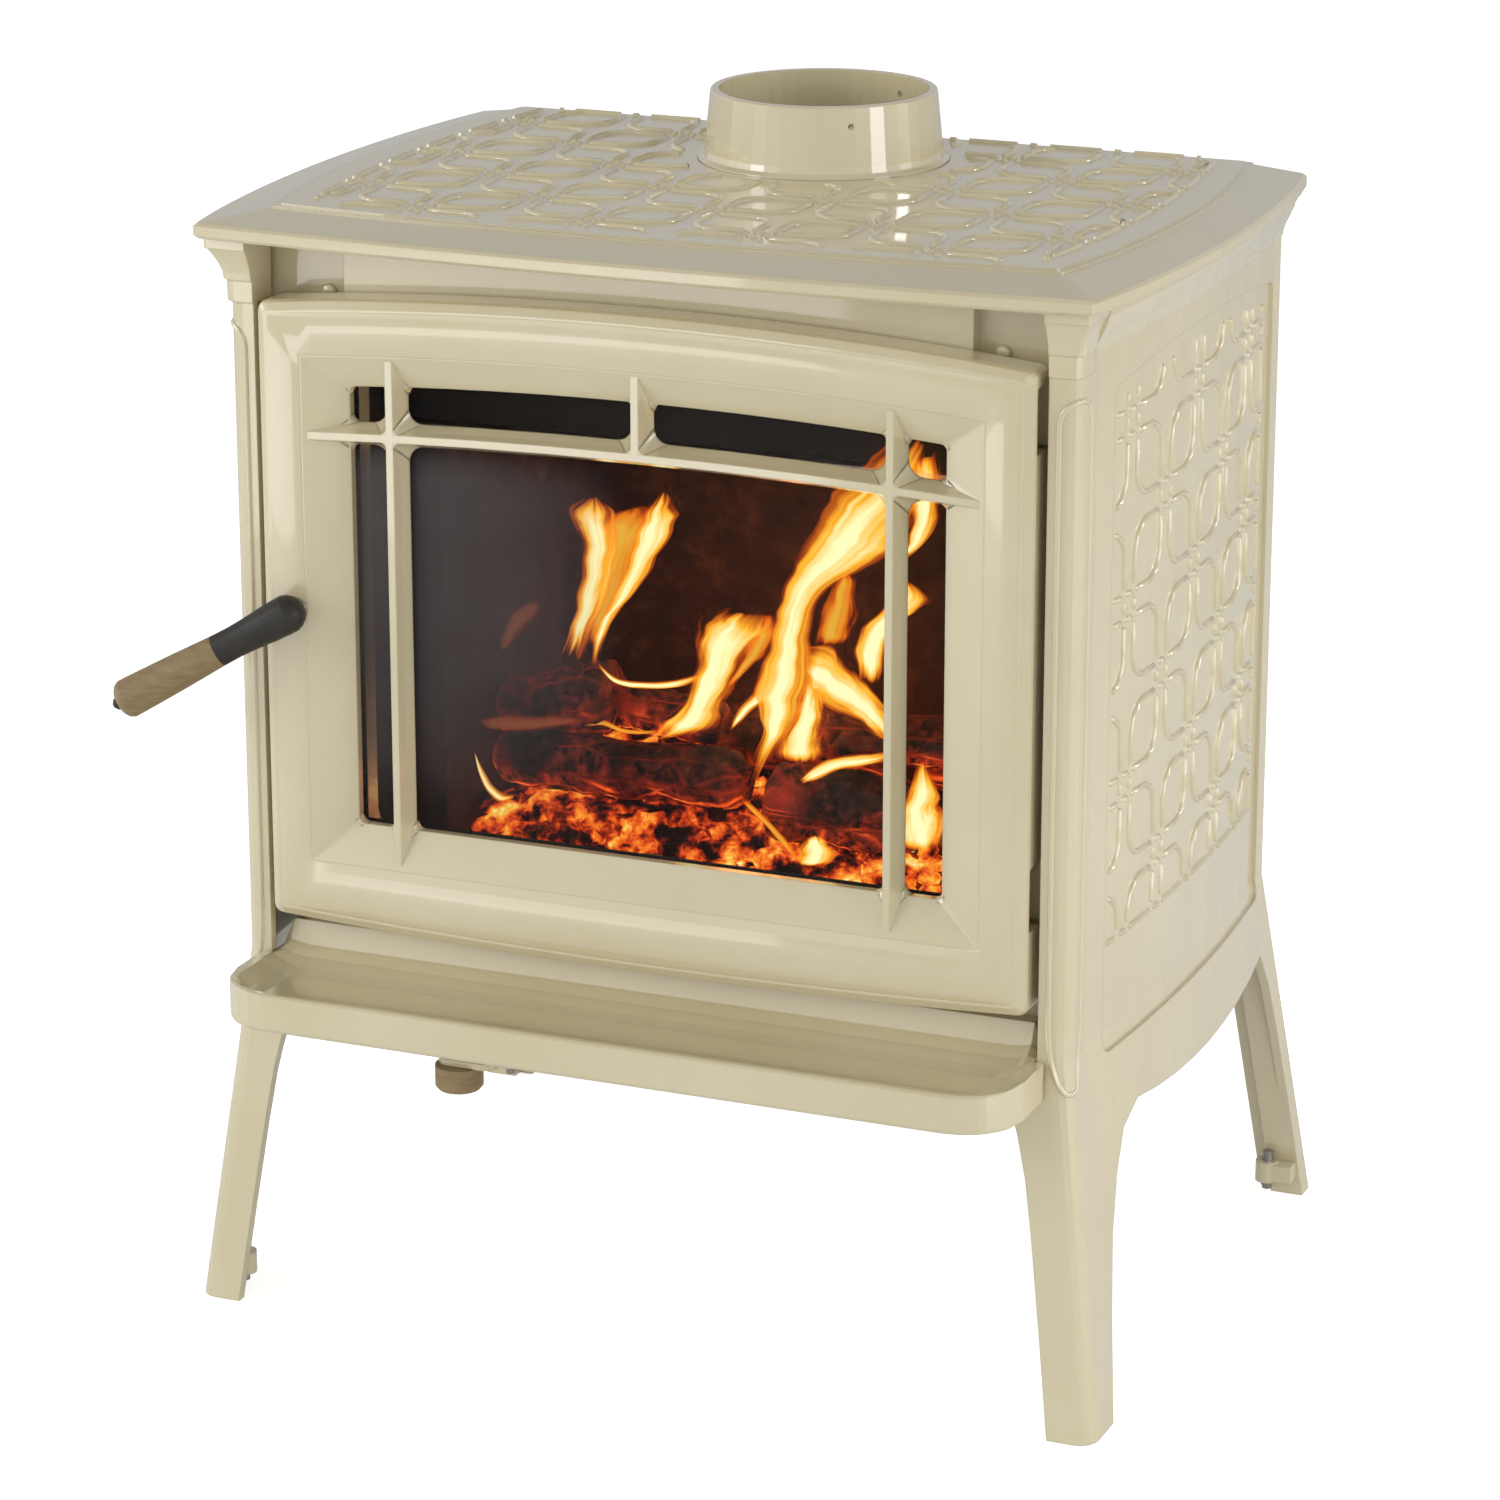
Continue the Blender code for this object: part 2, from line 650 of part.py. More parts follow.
def side_field():
    """The cutter that sinks the side panel's field into the web."""
    middle = (SIDE_FIELD_FRONT + SIDE_FIELD_REAR) / 2
    half = (SIDE_FIELD_REAR - SIDE_FIELD_FRONT) / 2
    outline = arched_outline(half, SIDE_FIELD_BOTTOM, SIDE_FIELD_TOP, SIDE_FIELD_CROWN,
                             corner=0.0080, steps=6, bend=2)
    return prism("field", [(middle + y, z) for y, z in outline], "X",
                 BODY_HALF - PANEL_SINK, BODY_HALF + 0.0100)


def side_casting(name, material):
    """The right-hand side: panel, front and rear posts, legs and screw lugs."""
    casting = prism(name, side_outline(), "X", BODY_HALF - WEB, BODY_HALF)
    join(casting, prism("front_web", front_web_outline(), "Y", BODY_FRONT, BODY_FRONT + WEB))
    round_post_corner(casting)
    rear_post = block("rear_post", (POST_INNER, BODY_REAR - WEB, 0.1),
                      (BODY_HALF, BODY_REAR, BODY_TOP))
    rear_flange = block("rear_flange",
                        (BODY_HALF - REAR_BLOCK_WIDTH - REAR_FLANGE, BODY_REAR - WEB, 0.0),
                        (BODY_HALF, BODY_REAR, ARCH_END + 0.0200))
    rear_block = block("rear_block",
                       (BODY_HALF - REAR_BLOCK_WIDTH, BODY_REAR - REAR_BLOCK_DEPTH, 0.0),
                       (BODY_HALF, BODY_REAR, ARCH_END))
    join(casting, rear_post, rear_flange, rear_block)
    cut(casting, side_field())
    bow_side(casting)
    splay_side(casting)
    join(casting, post_capital(), side_cornice())
    join(casting, *lug(LUG_FRONT_Y, -1), *lug(LUG_REAR_Y, 1))
    holes = [rod("hole", (LUG_X, y, LUG_BOTTOM - 0.01), (LUG_X, y, LUG_TOP + 0.01),
                 SCREW_RADIUS + THREAD_GAP) for y in (LUG_FRONT_Y, LUG_REAR_Y)]
    cut(casting, *holes)
    casting.data.materials.clear()
    casting.data.materials.append(material)
    return casting


def mirrored(item, name):
    """A copy on the other side of the body's middle."""
    copy = bpy.data.objects.new(name, item.data.copy())
    bpy.context.collection.objects.link(copy)
    copy.data.transform(Matrix.Scale(-1, 4, (1, 0, 0)))
    copy.data.flip_normals()
    return copy


def plate_outline(inset, front=None, rear=None, corner=0.004, steps=14, bend=3):
    """The top plate's bowed outline, or the field's when front and rear are given."""
    y_front = inset if front is None else front
    y_rear = PLATE_REAR - inset if rear is None else rear
    half_front = PLATE_HALF_FRONT - inset
    half_rear = PLATE_HALF_REAR - inset
    length = y_rear - y_front

    def half(y):
        share = min(max((y - y_front) / length, 0.0), 1.0)
        return half_front + (half_rear - half_front) * share + PLATE_SIDE_BOW * 4 * share * (1 - share)

    def front_y(x):
        return y_front - PLATE_FRONT_BOW * (1 - (x / half_front) ** 2)

    outline = []
    run = half_front - corner
    for step in range(1, steps):
        x = -run + 2 * run * step / steps
        outline.append((x, front_y(x)))
    outline += arc((run, y_front + corner), corner, -90, 0, bend)
    for step in range(1, steps):
        y = y_front + corner + (length - 2 * corner) * step / steps
        outline.append((half(y), y))
    outline += arc((half_rear - corner, y_rear - corner), corner, 0, 90, bend)
    outline += arc((-half_rear + corner, y_rear - corner), corner, 90, 180, bend)
    for step in range(1, steps):
        y = y_rear - corner - (length - 2 * corner) * step / steps
        outline.append((-half(y), y))
    outline += arc((-run, y_front + corner), corner, 180, 270, bend)
    return outline


def top_plate(material):
    """The cooking surface: an upright band, a broad slope and a stepped flat field."""
    band_top = PLATE_UNDERSIDE + PLATE_BAND
    field = dict(front=FIELD_FRONT, rear=FIELD_REAR)
    inner = dict(front=FIELD_FRONT + FIELD_STEP_WIDTH, rear=FIELD_REAR - FIELD_STEP_WIDTH)
    pocket = dict(front=PLATE_SEAT_BAND + 0.0080, rear=PLATE_REAR - 0.0352)
    roof = PLATE_TOP - PLATE_THICKNESS
    rings = [
        at_height(plate_outline(PLATE_SEAT_BAND, **pocket), roof),
        at_height(plate_outline(PLATE_SEAT_BAND, **pocket), PLATE_UNDERSIDE),
        at_height(plate_outline(PLATE_ROUND), PLATE_UNDERSIDE),
        at_height(plate_outline(0.0), PLATE_UNDERSIDE + PLATE_ROUND),
        at_height(plate_outline(0.0), band_top - PLATE_ROUND),
        at_height(plate_outline(PLATE_ROUND), band_top),
        at_height(plate_outline(FIELD_MARGIN, **field), PLATE_TOP - 2 * FIELD_STEP),
        at_height(plate_outline(FIELD_MARGIN, **field), PLATE_TOP - FIELD_STEP),
        at_height(plate_outline(FIELD_MARGIN + FIELD_STEP_WIDTH, **inner),
                  PLATE_TOP - FIELD_STEP),
        at_height(plate_outline(FIELD_MARGIN + FIELD_STEP_WIDTH, **inner), PLATE_TOP),
    ]
    plate = loft("top_plate", rings, material)
    hole = rod("hole", (0, FLUE_Y, roof - 0.02), (0, FLUE_Y, PLATE_TOP + 0.02),
               SPIGOT_RADIUS + SEAT, sides=ROUND_LARGE)
    recess = rod("recess", (0, FLUE_Y, PLATE_TOP - COLLAR_RECESS),
                 (0, FLUE_Y, PLATE_TOP + 0.02), COLLAR_RECESS_RADIUS, sides=ROUND_LARGE)
    return cut(plate, hole, recess)


def flue_collar(material):
    """A slightly tapered collar with a foot on the plate and a spigot into the firebox."""
    foot = PLATE_TOP - COLLAR_RECESS + SEAT
    profile = [(BOX_TOP - BOX_WALL, FLUE_BORE), (BOX_TOP - BOX_WALL, SPIGOT_RADIUS),
               (foot, SPIGOT_RADIUS), (foot, COLLAR_BASE_RADIUS + COLLAR_FOOT),
               (foot + 0.0015, COLLAR_BASE_RADIUS + COLLAR_FOOT),
               (foot + 0.0035, COLLAR_BASE_RADIUS + 0.0008),
               (foot + 0.0075, COLLAR_BASE_RADIUS - 0.0004),
               (COLLAR_TOP - 0.0010, COLLAR_RIM_RADIUS),
               (COLLAR_TOP, COLLAR_RIM_RADIUS - 0.0008),
               (COLLAR_TOP, FLUE_BORE)]
    collar = ring_solid("flue_collar", profile, (0, FLUE_Y, 0), (0, 0, 1), material, ROUND_LARGE)
    holes = []
    for angle in (-55, 65, 185):
        out = Vector((math.cos(math.radians(angle)), math.sin(math.radians(angle)), 0))
        centre = Vector((0, FLUE_Y, COLLAR_HOLE_Z))
        holes.append(rod("hole", centre + out * (FLUE_BORE - 0.01),
                         centre + out * (COLLAR_BASE_RADIUS + 0.01), COLLAR_HOLE, sides=8))
    return cut(collar, *holes)


def front_casting(material):
    """The upright face behind the door, with its doorway, sealing land and hinge lugs."""
    outline = [(-FRONT_NOTCH_HALF, FRONT_BOTTOM), (FRONT_NOTCH_HALF, FRONT_BOTTOM),
               (FRONT_NOTCH_HALF, FRONT_NOTCH_TOP), (FRONT_HALF, FRONT_NOTCH_TOP),
               (FRONT_HALF, BODY_TOP), (-FRONT_HALF, BODY_TOP),
               (-FRONT_HALF, FRONT_NOTCH_TOP), (-FRONT_NOTCH_HALF, FRONT_NOTCH_TOP)]
    casting = prism("front_casting", outline, "Y", FRONT_FACE, FRONT_BACK)
    middle = (FRONT_FACE + FRONT_BACK) / 2
    land = block("land", (-LAND_HALF, LAND_FACE, LAND_BOTTOM), (LAND_HALF, middle, LAND_TOP))
    raised = block("raised", (-RAISED_HALF, RAISED_FACE, LAND_TOP - 0.002),
                   (RAISED_HALF, middle, BODY_TOP))
    join(casting, land, raised)
    for height in HINGE_HEIGHTS.values():
        pad = block("pad", (PAD_LEFT, PAD_FACE, height - PAD_HEIGHT / 2),
                    (PAD_RIGHT, middle, height + PAD_HEIGHT / 2))
        arm = block("arm", (HINGE_X - HINGE_ARM / 2, HINGE_Y, height - KNUCKLE_HEIGHT / 2),
                    (HINGE_X + HINGE_ARM / 2, middle, height + KNUCKLE_HEIGHT / 2))
        knuckle = rod("knuckle", (HINGE_X, HINGE_Y, height - KNUCKLE_HEIGHT / 2),
                      (HINGE_X, HINGE_Y, height + KNUCKLE_HEIGHT / 2), KNUCKLE_RADIUS,
                      sides=ROUND)
        join(casting, pad, arm, knuckle)
        cut(casting, rod("bore", (HINGE_X, HINGE_Y, height - KNUCKLE_HEIGHT),
                         (HINGE_X, HINGE_Y, height + KNUCKLE_HEIGHT), PIN_RADIUS + PIN_GAP))
    doorway = prism("doorway", arched_outline(DOORWAY_HALF, DOORWAY_BOTTOM, DOORWAY_TOP, 0.0,
                                              corner=DOORWAY_CORNER, steps=2),
                    "Y", RAISED_FACE - 0.01, FRONT_BACK + 0.01)
    latch_hole = block("latch_hole",
                       (LATCH_HOLE_LEFT, FRONT_FACE - 0.01, LATCH_Z - LATCH_HOLE_HALF),
                       (LATCH_HOLE_RIGHT, FRONT_BACK + 0.01, LATCH_Z + LATCH_HOLE_HALF))
    screw_holes = [rod("hole", (side * FRONT_SCREW_X, FRONT_FACE - 0.01, FRONT_SCREW_Z),
                       (side * FRONT_SCREW_X, FRONT_BACK + 0.01, FRONT_SCREW_Z),
                       0.0025 + SEAT, sides=10) for side in (-1, 1)]
    cut(casting, doorway, latch_hole, *screw_holes)
    casting.data.materials.clear()
    casting.data.materials.append(material)
    return casting


def pan_screw(name, seat, direction, radius, shank, length, height, material):
    """A domed screw head on a plain shank. The direction points out of the head."""
    profile = [(-length, shank), (SEAT, shank), (SEAT, radius), (height * 0.5, radius),
               (height * 0.85, radius * 0.8), (height, radius * 0.35)]
    return turned(name, profile, seat, direction, material, sides=12)


def front_screws(material):
    """The two cross-head screws at the upper corners of the front casting."""
    return [pan_screw("front_screw_" + place, (x, FRONT_FACE, FRONT_SCREW_Z), (0, -1, 0),
                      0.0052, 0.0025, 0.012, 0.0036, material)
            for place, x in (("left", -FRONT_SCREW_X), ("right", FRONT_SCREW_X))]


def blade_bar(name, start, end, rise=0.0, steps=8):
    """A window bar from start to end in X and Z: broad at the glass, thin at its ridge."""
    start = Vector(start)
    end = Vector(end)
    along = (end - start).normalized()
    side = Vector((-along.y, along.x))
    section = [(BAR_WIDTH / 2, WINDOW_DEPTH + 0.0025), (BAR_WAIST / 2, BAR_WAIST_Y),
               (BAR_RIDGE / 2, BAR_FRONT), (-BAR_RIDGE / 2, BAR_FRONT),
               (-BAR_WAIST / 2, BAR_WAIST_Y), (-BAR_WIDTH / 2, WINDOW_DEPTH + 0.0025)]
    rings = []
    for step in range(steps + 1):
        share = step / steps
        centre = start + (end - start) * share + side * rise * 4 * share * (1 - share)
        rings.append([(centre.x + side.x * out, depth, centre.y + side.y * out)
                      for out, depth in section])
    return loft(name, rings)


def door_casting(material):
    """The door frame: chamfered edge, sunk bevel, rebate, rope groove and blade bars."""
    outer = dict(crown=DOOR_CROWN, belly=DOOR_BELLY)
    edge = DOOR_CHAMFER
    frame = [
        at_depth(arched_outline(DOOR_HALF, DOOR_BOTTOM, DOOR_TOP, corner=DOOR_CORNER, **outer),
                 DOOR_BACK),
        at_depth(arched_outline(DOOR_HALF, DOOR_BOTTOM, DOOR_TOP, corner=DOOR_CORNER, **outer),
                 DOOR_FACE + edge),
        at_depth(arched_outline(DOOR_HALF - 0.0010, DOOR_BOTTOM + 0.0010, DOOR_TOP - 0.0010,
                                corner=DOOR_CORNER, **outer), DOOR_FACE + 0.0030),
        at_depth(arched_outline(DOOR_HALF - edge, DOOR_BOTTOM + edge, DOOR_TOP - edge,
                                corner=DOOR_CORNER / 2, **outer), DOOR_FACE),
        at_depth(arched_outline(PANEL_HALF, PANEL_BOTTOM, PANEL_TOP, PANEL_CROWN), DOOR_FACE),
        at_depth(window_outline(0.0, corner=WINDOW_CORNER), WINDOW_DEPTH),
        at_depth(window_outline(0.0, corner=WINDOW_CORNER), GLASS_SEAT),
        at_depth(window_outline(REBATE), GLASS_SEAT),
        at_depth(window_outline(REBATE), DOOR_BACK),
        at_depth(window_outline(GROOVE_INNER), DOOR_BACK),
        at_depth(window_outline(GROOVE_INNER), DOOR_BACK - GROOVE_DEPTH),
        at_depth(window_outline(GROOVE_OUTER), DOOR_BACK - GROOVE_DEPTH),
        at_depth(window_outline(GROOVE_OUTER), DOOR_BACK),
    ]
    door = loft("door_casting", frame, closed=True)
    low = PANEL_BOTTOM + 0.0005
    high = PANEL_TOP + 0.0015
    bars = [blade_bar("bar", (side * SIDE_BAR_X, low), (side * SIDE_BAR_X, high), steps=1)
            for side in (-1, 1)]
    bars.append(blade_bar("bar", (-PANEL_HALF + 0.0030, CROSS_BAR_Z),
                          (PANEL_HALF - 0.0030, CROSS_BAR_Z), CROSS_BAR_RISE))
    bars.append(blade_bar("bar", (0.0, CROSS_BAR_Z + CROSS_BAR_RISE), (0.0, high + PANEL_CROWN),
                          steps=1))
    join(door, *bars)
    for height in HINGE_HEIGHTS.values():
        room = KNUCKLE_RADIUS + KNUCKLE_GAP
        half = KNUCKLE_HEIGHT / 2 + KNUCKLE_GAP
        notch = block("notch", (HINGE_X - room, HINGE_Y - room, height - half),
                      (DOOR_HALF + 0.01, DOOR_BACK + 0.01, height + half))
        pin_hole = rod("pin_hole",
                       (HINGE_X, HINGE_Y, height - PIN_LENGTH / 2 - PIN_GAP),
                       (HINGE_X, HINGE_Y, height + PIN_LENGTH / 2 + PIN_GAP),
                       PIN_RADIUS + PIN_GAP)
        cut(door, notch, pin_hole)
    cut(door, rod("bore", (LATCH_X, DOOR_FACE - 0.01, LATCH_Z), (LATCH_X, DOOR_BACK + 0.01, LATCH_Z),
                  SPINDLE_RADIUS + SPINDLE_GAP))
    door.data.materials.clear()
    door.data.materials.append(material)
    return door


def door_glass(material):
    margin = GLASS_LAP
    front = GLASS_SEAT + SEAT
    return prism("door_glass", window_outline(margin), "Y", front, front + GLASS_THICKNESS,
                 material)


def glass_gasket(material):
    """A flat tape between the glass and its clips."""
    front = GLASS_SEAT + SEAT + GLASS_THICKNESS + SEAT
    rings = [at_depth(window_outline(margin), depth) for margin, depth in
             ((GLASS_LAP, front), (GLASS_LAP, front + TAPE), (0.0, front + TAPE), (0.0, front))]
    return loft("glass_gasket", rings, material, closed=True)


def clip_places():
    """Middle of each glass clip's hole in X and Z, with the way it points off the glass."""
    reach = (REBATE + GROOVE_INNER) / 2
    low = WINDOW_BOTTOM - reach
    high = WINDOW_TOP + WINDOW_CROWN + reach
    middle = (WINDOW_BOTTOM + WINDOW_TOP) / 2
    wide = WINDOW_HALF + reach
    return {"bottom": (0.0, low, 0, -1), "top": (0.0, high, 0, 1),
            "left": (-wide, middle, -1, 0), "right": (wide, middle, 1, 0)}


def glass_clips(material):
    """Small steel clips that hold the glass against its ledge."""
    clips = []
    face = DOOR_BACK + SEAT
    inner = REBATE + 0.0040
    outer = CLIP_OUTER
    half = CLIP_WIDTH / 2
    for place, (x, z, out_x, out_z) in clip_places().items():
        ends_x = (x - out_x * inner - half * abs(out_z), x + out_x * outer + half * abs(out_z))
        ends_z = (z - out_z * inner - half * abs(out_x), z + out_z * outer + half * abs(out_x))
        clip = block("glass_clip_" + place, (min(ends_x), face, min(ends_z)),
                     (max(ends_x), face + CLIP_THICKNESS, max(ends_z)), material)
        clips.append(cut(clip, rod("hole", (x, face - 0.01, z), (x, face + 0.01, z), CLIP_HOLE,
                                   sides=8)))
    return clips


def door_rope(material):
    """The rope seal: a flattened round section that follows the groove."""
    inner = GROOVE_INNER + ROPE_CLEARANCE
    outer = GROOVE_OUTER - ROPE_CLEARANCE
    front = DOOR_BACK - GROOVE_DEPTH + SEAT
    back = LAND_FACE - SEAT
    middle = (inner + outer) / 2
    width = (outer - inner) / 2
    depth = (back - front) / 2
    rings = []
    for step in range(8):
        angle = math.radians(45 * step + 22.5)
        margin = middle + width * max(-1, min(1, 1.082 * math.cos(angle)))
        y = (front + back) / 2 + depth * max(-1, min(1, 1.082 * math.sin(angle)))
        rings.append(at_depth(window_outline(margin), y))
    return loft("door_rope_gasket", rings, material, closed=True)


def hinge_pin(place, material):
    height = HINGE_HEIGHTS[place]
    return rod("hinge_pin_" + place, (HINGE_X, HINGE_Y, height - PIN_LENGTH / 2),
               (HINGE_X, HINGE_Y, height + PIN_LENGTH / 2), PIN_RADIUS, material)


def cam_front():
    """Where the cam starts, behind the catch strip."""
    return FRONT_BACK + CATCH_THICKNESS + CAM_GAP


def latch_spindle(material):
    """The turning shaft: a collar behind the handle, and a plain shaft through the door."""
    collar_front = DOOR_FACE - SEAT - COLLAR_LENGTH
    end = cam_front() + CAM_THICKNESS + CAM_NUT_HEIGHT + 0.0020 - collar_front
    profile = [(0.0, COLLAR_RADIUS), (COLLAR_LENGTH, COLLAR_RADIUS),
               (COLLAR_LENGTH, SPINDLE_RADIUS), (end, SPINDLE_RADIUS)]
    return turned("latch_spindle", profile, (LATCH_X, collar_front, LATCH_Z), (0, 1, 0),
                  material, ROUND)


def latch_cam(material):
    """A tongue that points at the door's edge when free, and turns down behind the catch."""
    front = cam_front()
    hub = rod("latch_cam", (LATCH_X, front, LATCH_Z), (LATCH_X, front + CAM_THICKNESS, LATCH_Z),
              CAM_HUB, material, ROUND)
    half = CAM_WIDTH / 2
    tip = LATCH_X - CAM_REACH
    tongue = prism("tongue", [(LATCH_X, LATCH_Z - half), (tip + half, LATCH_Z - half),
                              (tip, LATCH_Z - half * 0.3), (tip, LATCH_Z + half * 0.5),
                              (tip + half * 0.6, LATCH_Z + half), (LATCH_X, LATCH_Z + half)],
                   "Y", front, front + CAM_THICKNESS)
    join(hub, tongue)
    return cut(hub, rod("bore", (LATCH_X, front - 0.01, LATCH_Z), (LATCH_X, front + 0.02, LATCH_Z),
                        SPINDLE_RADIUS + SEAT, sides=ROUND))


def latch_cam_nut(material):
    """The nut that holds the cam on the spindle."""
    front = cam_front() + CAM_THICKNESS + SEAT
    nut = rod("latch_cam_nut", (LATCH_X, front, LATCH_Z),
              (LATCH_X, front + CAM_NUT_HEIGHT, LATCH_Z), CAM_NUT_RADIUS, material, 6)
    return cut(nut, rod("bore", (LATCH_X, front - 0.01, LATCH_Z), (LATCH_X, front + 0.02, LATCH_Z),
                        SPINDLE_RADIUS + SEAT, sides=ROUND))


def latch_catch(material):
    """A steel strip behind the casting, below the hole that the tongue passes through."""
    front = FRONT_BACK + SEAT
    top = LATCH_Z - LATCH_HOLE_HALF
    strip = block("latch_catch", (LATCH_HOLE_LEFT, front, top - CATCH_HEIGHT),
                  (LATCH_HOLE_RIGHT, front + CATCH_THICKNESS, top), material)
    level = top - 0.73 * CATCH_HEIGHT
    holes = [rod("hole", (x, front - 0.01, level), (x, front + 0.01, level), CATCH_SCREW, sides=8)
             for x in (LATCH_HOLE_LEFT + 0.0060, LATCH_HOLE_RIGHT - 0.0060)]
    return cut(strip, *holes)


def handle_ferrule(material):
    """The black end of the handle: a ball over the spindle that tapers to a neck."""
    centre = Vector((LATCH_X, BALL_Y, LATCH_Z))
    profile = [(-BALL_RADIUS, 0.0)]
    for angle in (20, 40, 60, 80, 100):
        turn = math.radians(angle)
        profile.append((-BALL_RADIUS * math.cos(turn), BALL_RADIUS * math.sin(turn)))
    profile += [(0.012, BALL_RADIUS * 0.945), (0.026, NECK_RADIUS + 0.0006), (0.038, NECK_RADIUS),
                (FERRULE_LENGTH, JOINT_RADIUS)]
    ferrule = turned("handle_ferrule", profile, centre, HANDLE_DIRECTION, material, ROUND)
    flat = block("flat", (LATCH_X - 0.03, DOOR_FACE - 2 * SEAT - COLLAR_LENGTH, LATCH_Z - 0.03),
                 (LATCH_X + 0.03, DOOR_FACE + 0.03, LATCH_Z + 0.03))
    bore = rod("bore", centre + HANDLE_DIRECTION * (GRIP_BOLT_DEPTH - 0.0020),
               centre + HANDLE_DIRECTION * (FERRULE_LENGTH + 0.01), GRIP_BOLT_RADIUS + SEAT)
    return cut(ferrule, flat, bore)


def handle_grip(material):
    """The brown grip: slightly fuller towards its rounded end, bored for its bolt."""
    start = FERRULE_LENGTH + SEAT
    end = FERRULE_LENGTH + GRIP_LENGTH
    bore = GRIP_BOLT_RADIUS + SEAT
    profile = [(start, bore), (start, JOINT_RADIUS), (start + 0.030, JOINT_RADIUS + 0.0014),
               (end - 0.0120, GRIP_RADIUS), (end - 0.0060, GRIP_RADIUS),
               (end - 0.0030, GRIP_RADIUS - 0.0014),
               (end - 0.0008, GRIP_RADIUS - 0.0042), (end, GRIP_RADIUS - 0.0072), (end, bore)]
    return ring_solid("handle_grip", profile, (LATCH_X, BALL_Y, LATCH_Z), HANDLE_DIRECTION,
                      material, ROUND)


def grip_bolt(material):
    """The long bolt through the grip, whose domed head closes the grip's end."""
    end = FERRULE_LENGTH + GRIP_LENGTH + SEAT
    profile = [(GRIP_BOLT_DEPTH, GRIP_BOLT_RADIUS), (end, GRIP_BOLT_RADIUS), (end, GRIP_NUT_RADIUS),
               (end + GRIP_NUT_HEIGHT * 0.5, GRIP_NUT_RADIUS * 0.92),
               (end + GRIP_NUT_HEIGHT, GRIP_NUT_RADIUS * 0.4)]
    return turned("grip_bolt", profile, (LATCH_X, BALL_Y, LATCH_Z), HANDLE_DIRECTION, material,
                  ROUND_SMALL)


def lip_section(x):
    """The ash lip's section at x, as points in Y and Z from the back's foot forwards."""
    distance = abs(x)
    past = max(0.0, distance - (LIP_HALF - LIP_CORNER))
    front = LIP_FRONT + LIP_CORNER - math.sqrt(max(LIP_CORNER ** 2 - past ** 2, 0.0))
    rim_share = min(max((distance - (LIP_HALF - 0.022)) / 0.016, 0.0), 1.0)
    basin = LIP_BASIN + (LIP_RIM - LIP_BASIN) * rim_share
    cove_share = min(max((LIP_BACK_HALF - 0.0010 - distance) / 0.0060, 0.0), 1.0)
    back_top = LIP_RIM + (LIP_BACK_TOP - LIP_RIM) * cove_share
    narrow = distance > LIP_BACK_HALF
    knee_lead = SPLAY_FRONT * (KNEE - LIP_BOTTOM)
    back = (BODY_FRONT - knee_lead if narrow else FRONT_FACE) - SEAT
    cove_start = min(0.002, back - 0.012)
    rise = back_top - basin
    points = [(back, LIP_BOTTOM), (front + 0.001, LIP_BOTTOM), (front, LIP_BOTTOM + 0.0020),
              (front, LIP_RIM - 0.0015), (front + 0.0015, LIP_RIM), (front + 0.0050, LIP_RIM),
              (front + 0.0085, LIP_RIM + (basin - LIP_RIM) * 0.45),
              (front + 0.0130, LIP_RIM + (basin - LIP_RIM) * 0.90), (front + 0.0200, basin)]
    ahead = points[-1][0]
    for share in (0.0, 0.35, 0.62, 0.83, 1.0):
        y = max(cove_start, ahead + 0.001) + (back - 0.0120 - max(cove_start, ahead + 0.001)) * share
        points.append((y, basin + rise * (1 - math.sqrt(max(1 - share ** 2, 0.0)))))
    points.append((back, back_top))
    return points


def ash_lip(material):
    """The tray in front of the door: raised rim, shallow basin and a cove up to the door."""
    edge = LIP_HALF - LIP_CORNER
    stations = [0.0, 0.12, edge]
    for angle in (18, 34, 48, 61, 70, 80):
        stations.append(edge + LIP_CORNER * math.sin(math.radians(angle)))
    stations = [x for x in stations if x < LIP_BACK_HALF - 0.0075]
    stations += [LIP_BACK_HALF - 0.0070, LIP_BACK_HALF - 0.0010, LIP_BACK_HALF,
                 LIP_BACK_HALF + 1e-5, LIP_BACK_HALF + 0.0030, LIP_HALF]
    stations = sorted(set(stations + [-x for x in stations]))
    rings = [[(x, y, z) for y, z in lip_section(x)] for x in stations]
    lip = loft("ash_lip", rings)
    pocket_half = LIP_BACK_HALF - 0.0120
    corner = LIP_CORNER - LIP_WALL
    inner = pocket_half - corner
    pocket_rear = FRONT_FACE - 2 * LIP_WALL
    pocket = [(pocket_half, pocket_rear), (-pocket_half, pocket_rear)]
    pocket += arc((-inner, LIP_FRONT + LIP_WALL + corner), corner, 180, 270, 4)
    pocket += arc((inner, LIP_FRONT + LIP_WALL + corner), corner, 270, 360, 4)
    cut(lip, prism("pocket", pocket, "Z", LIP_BOTTOM - 0.01, LIP_BASIN - LIP_FLOOR))
    lip.data.materials.clear()
    lip.data.materials.append(material)
    return lip


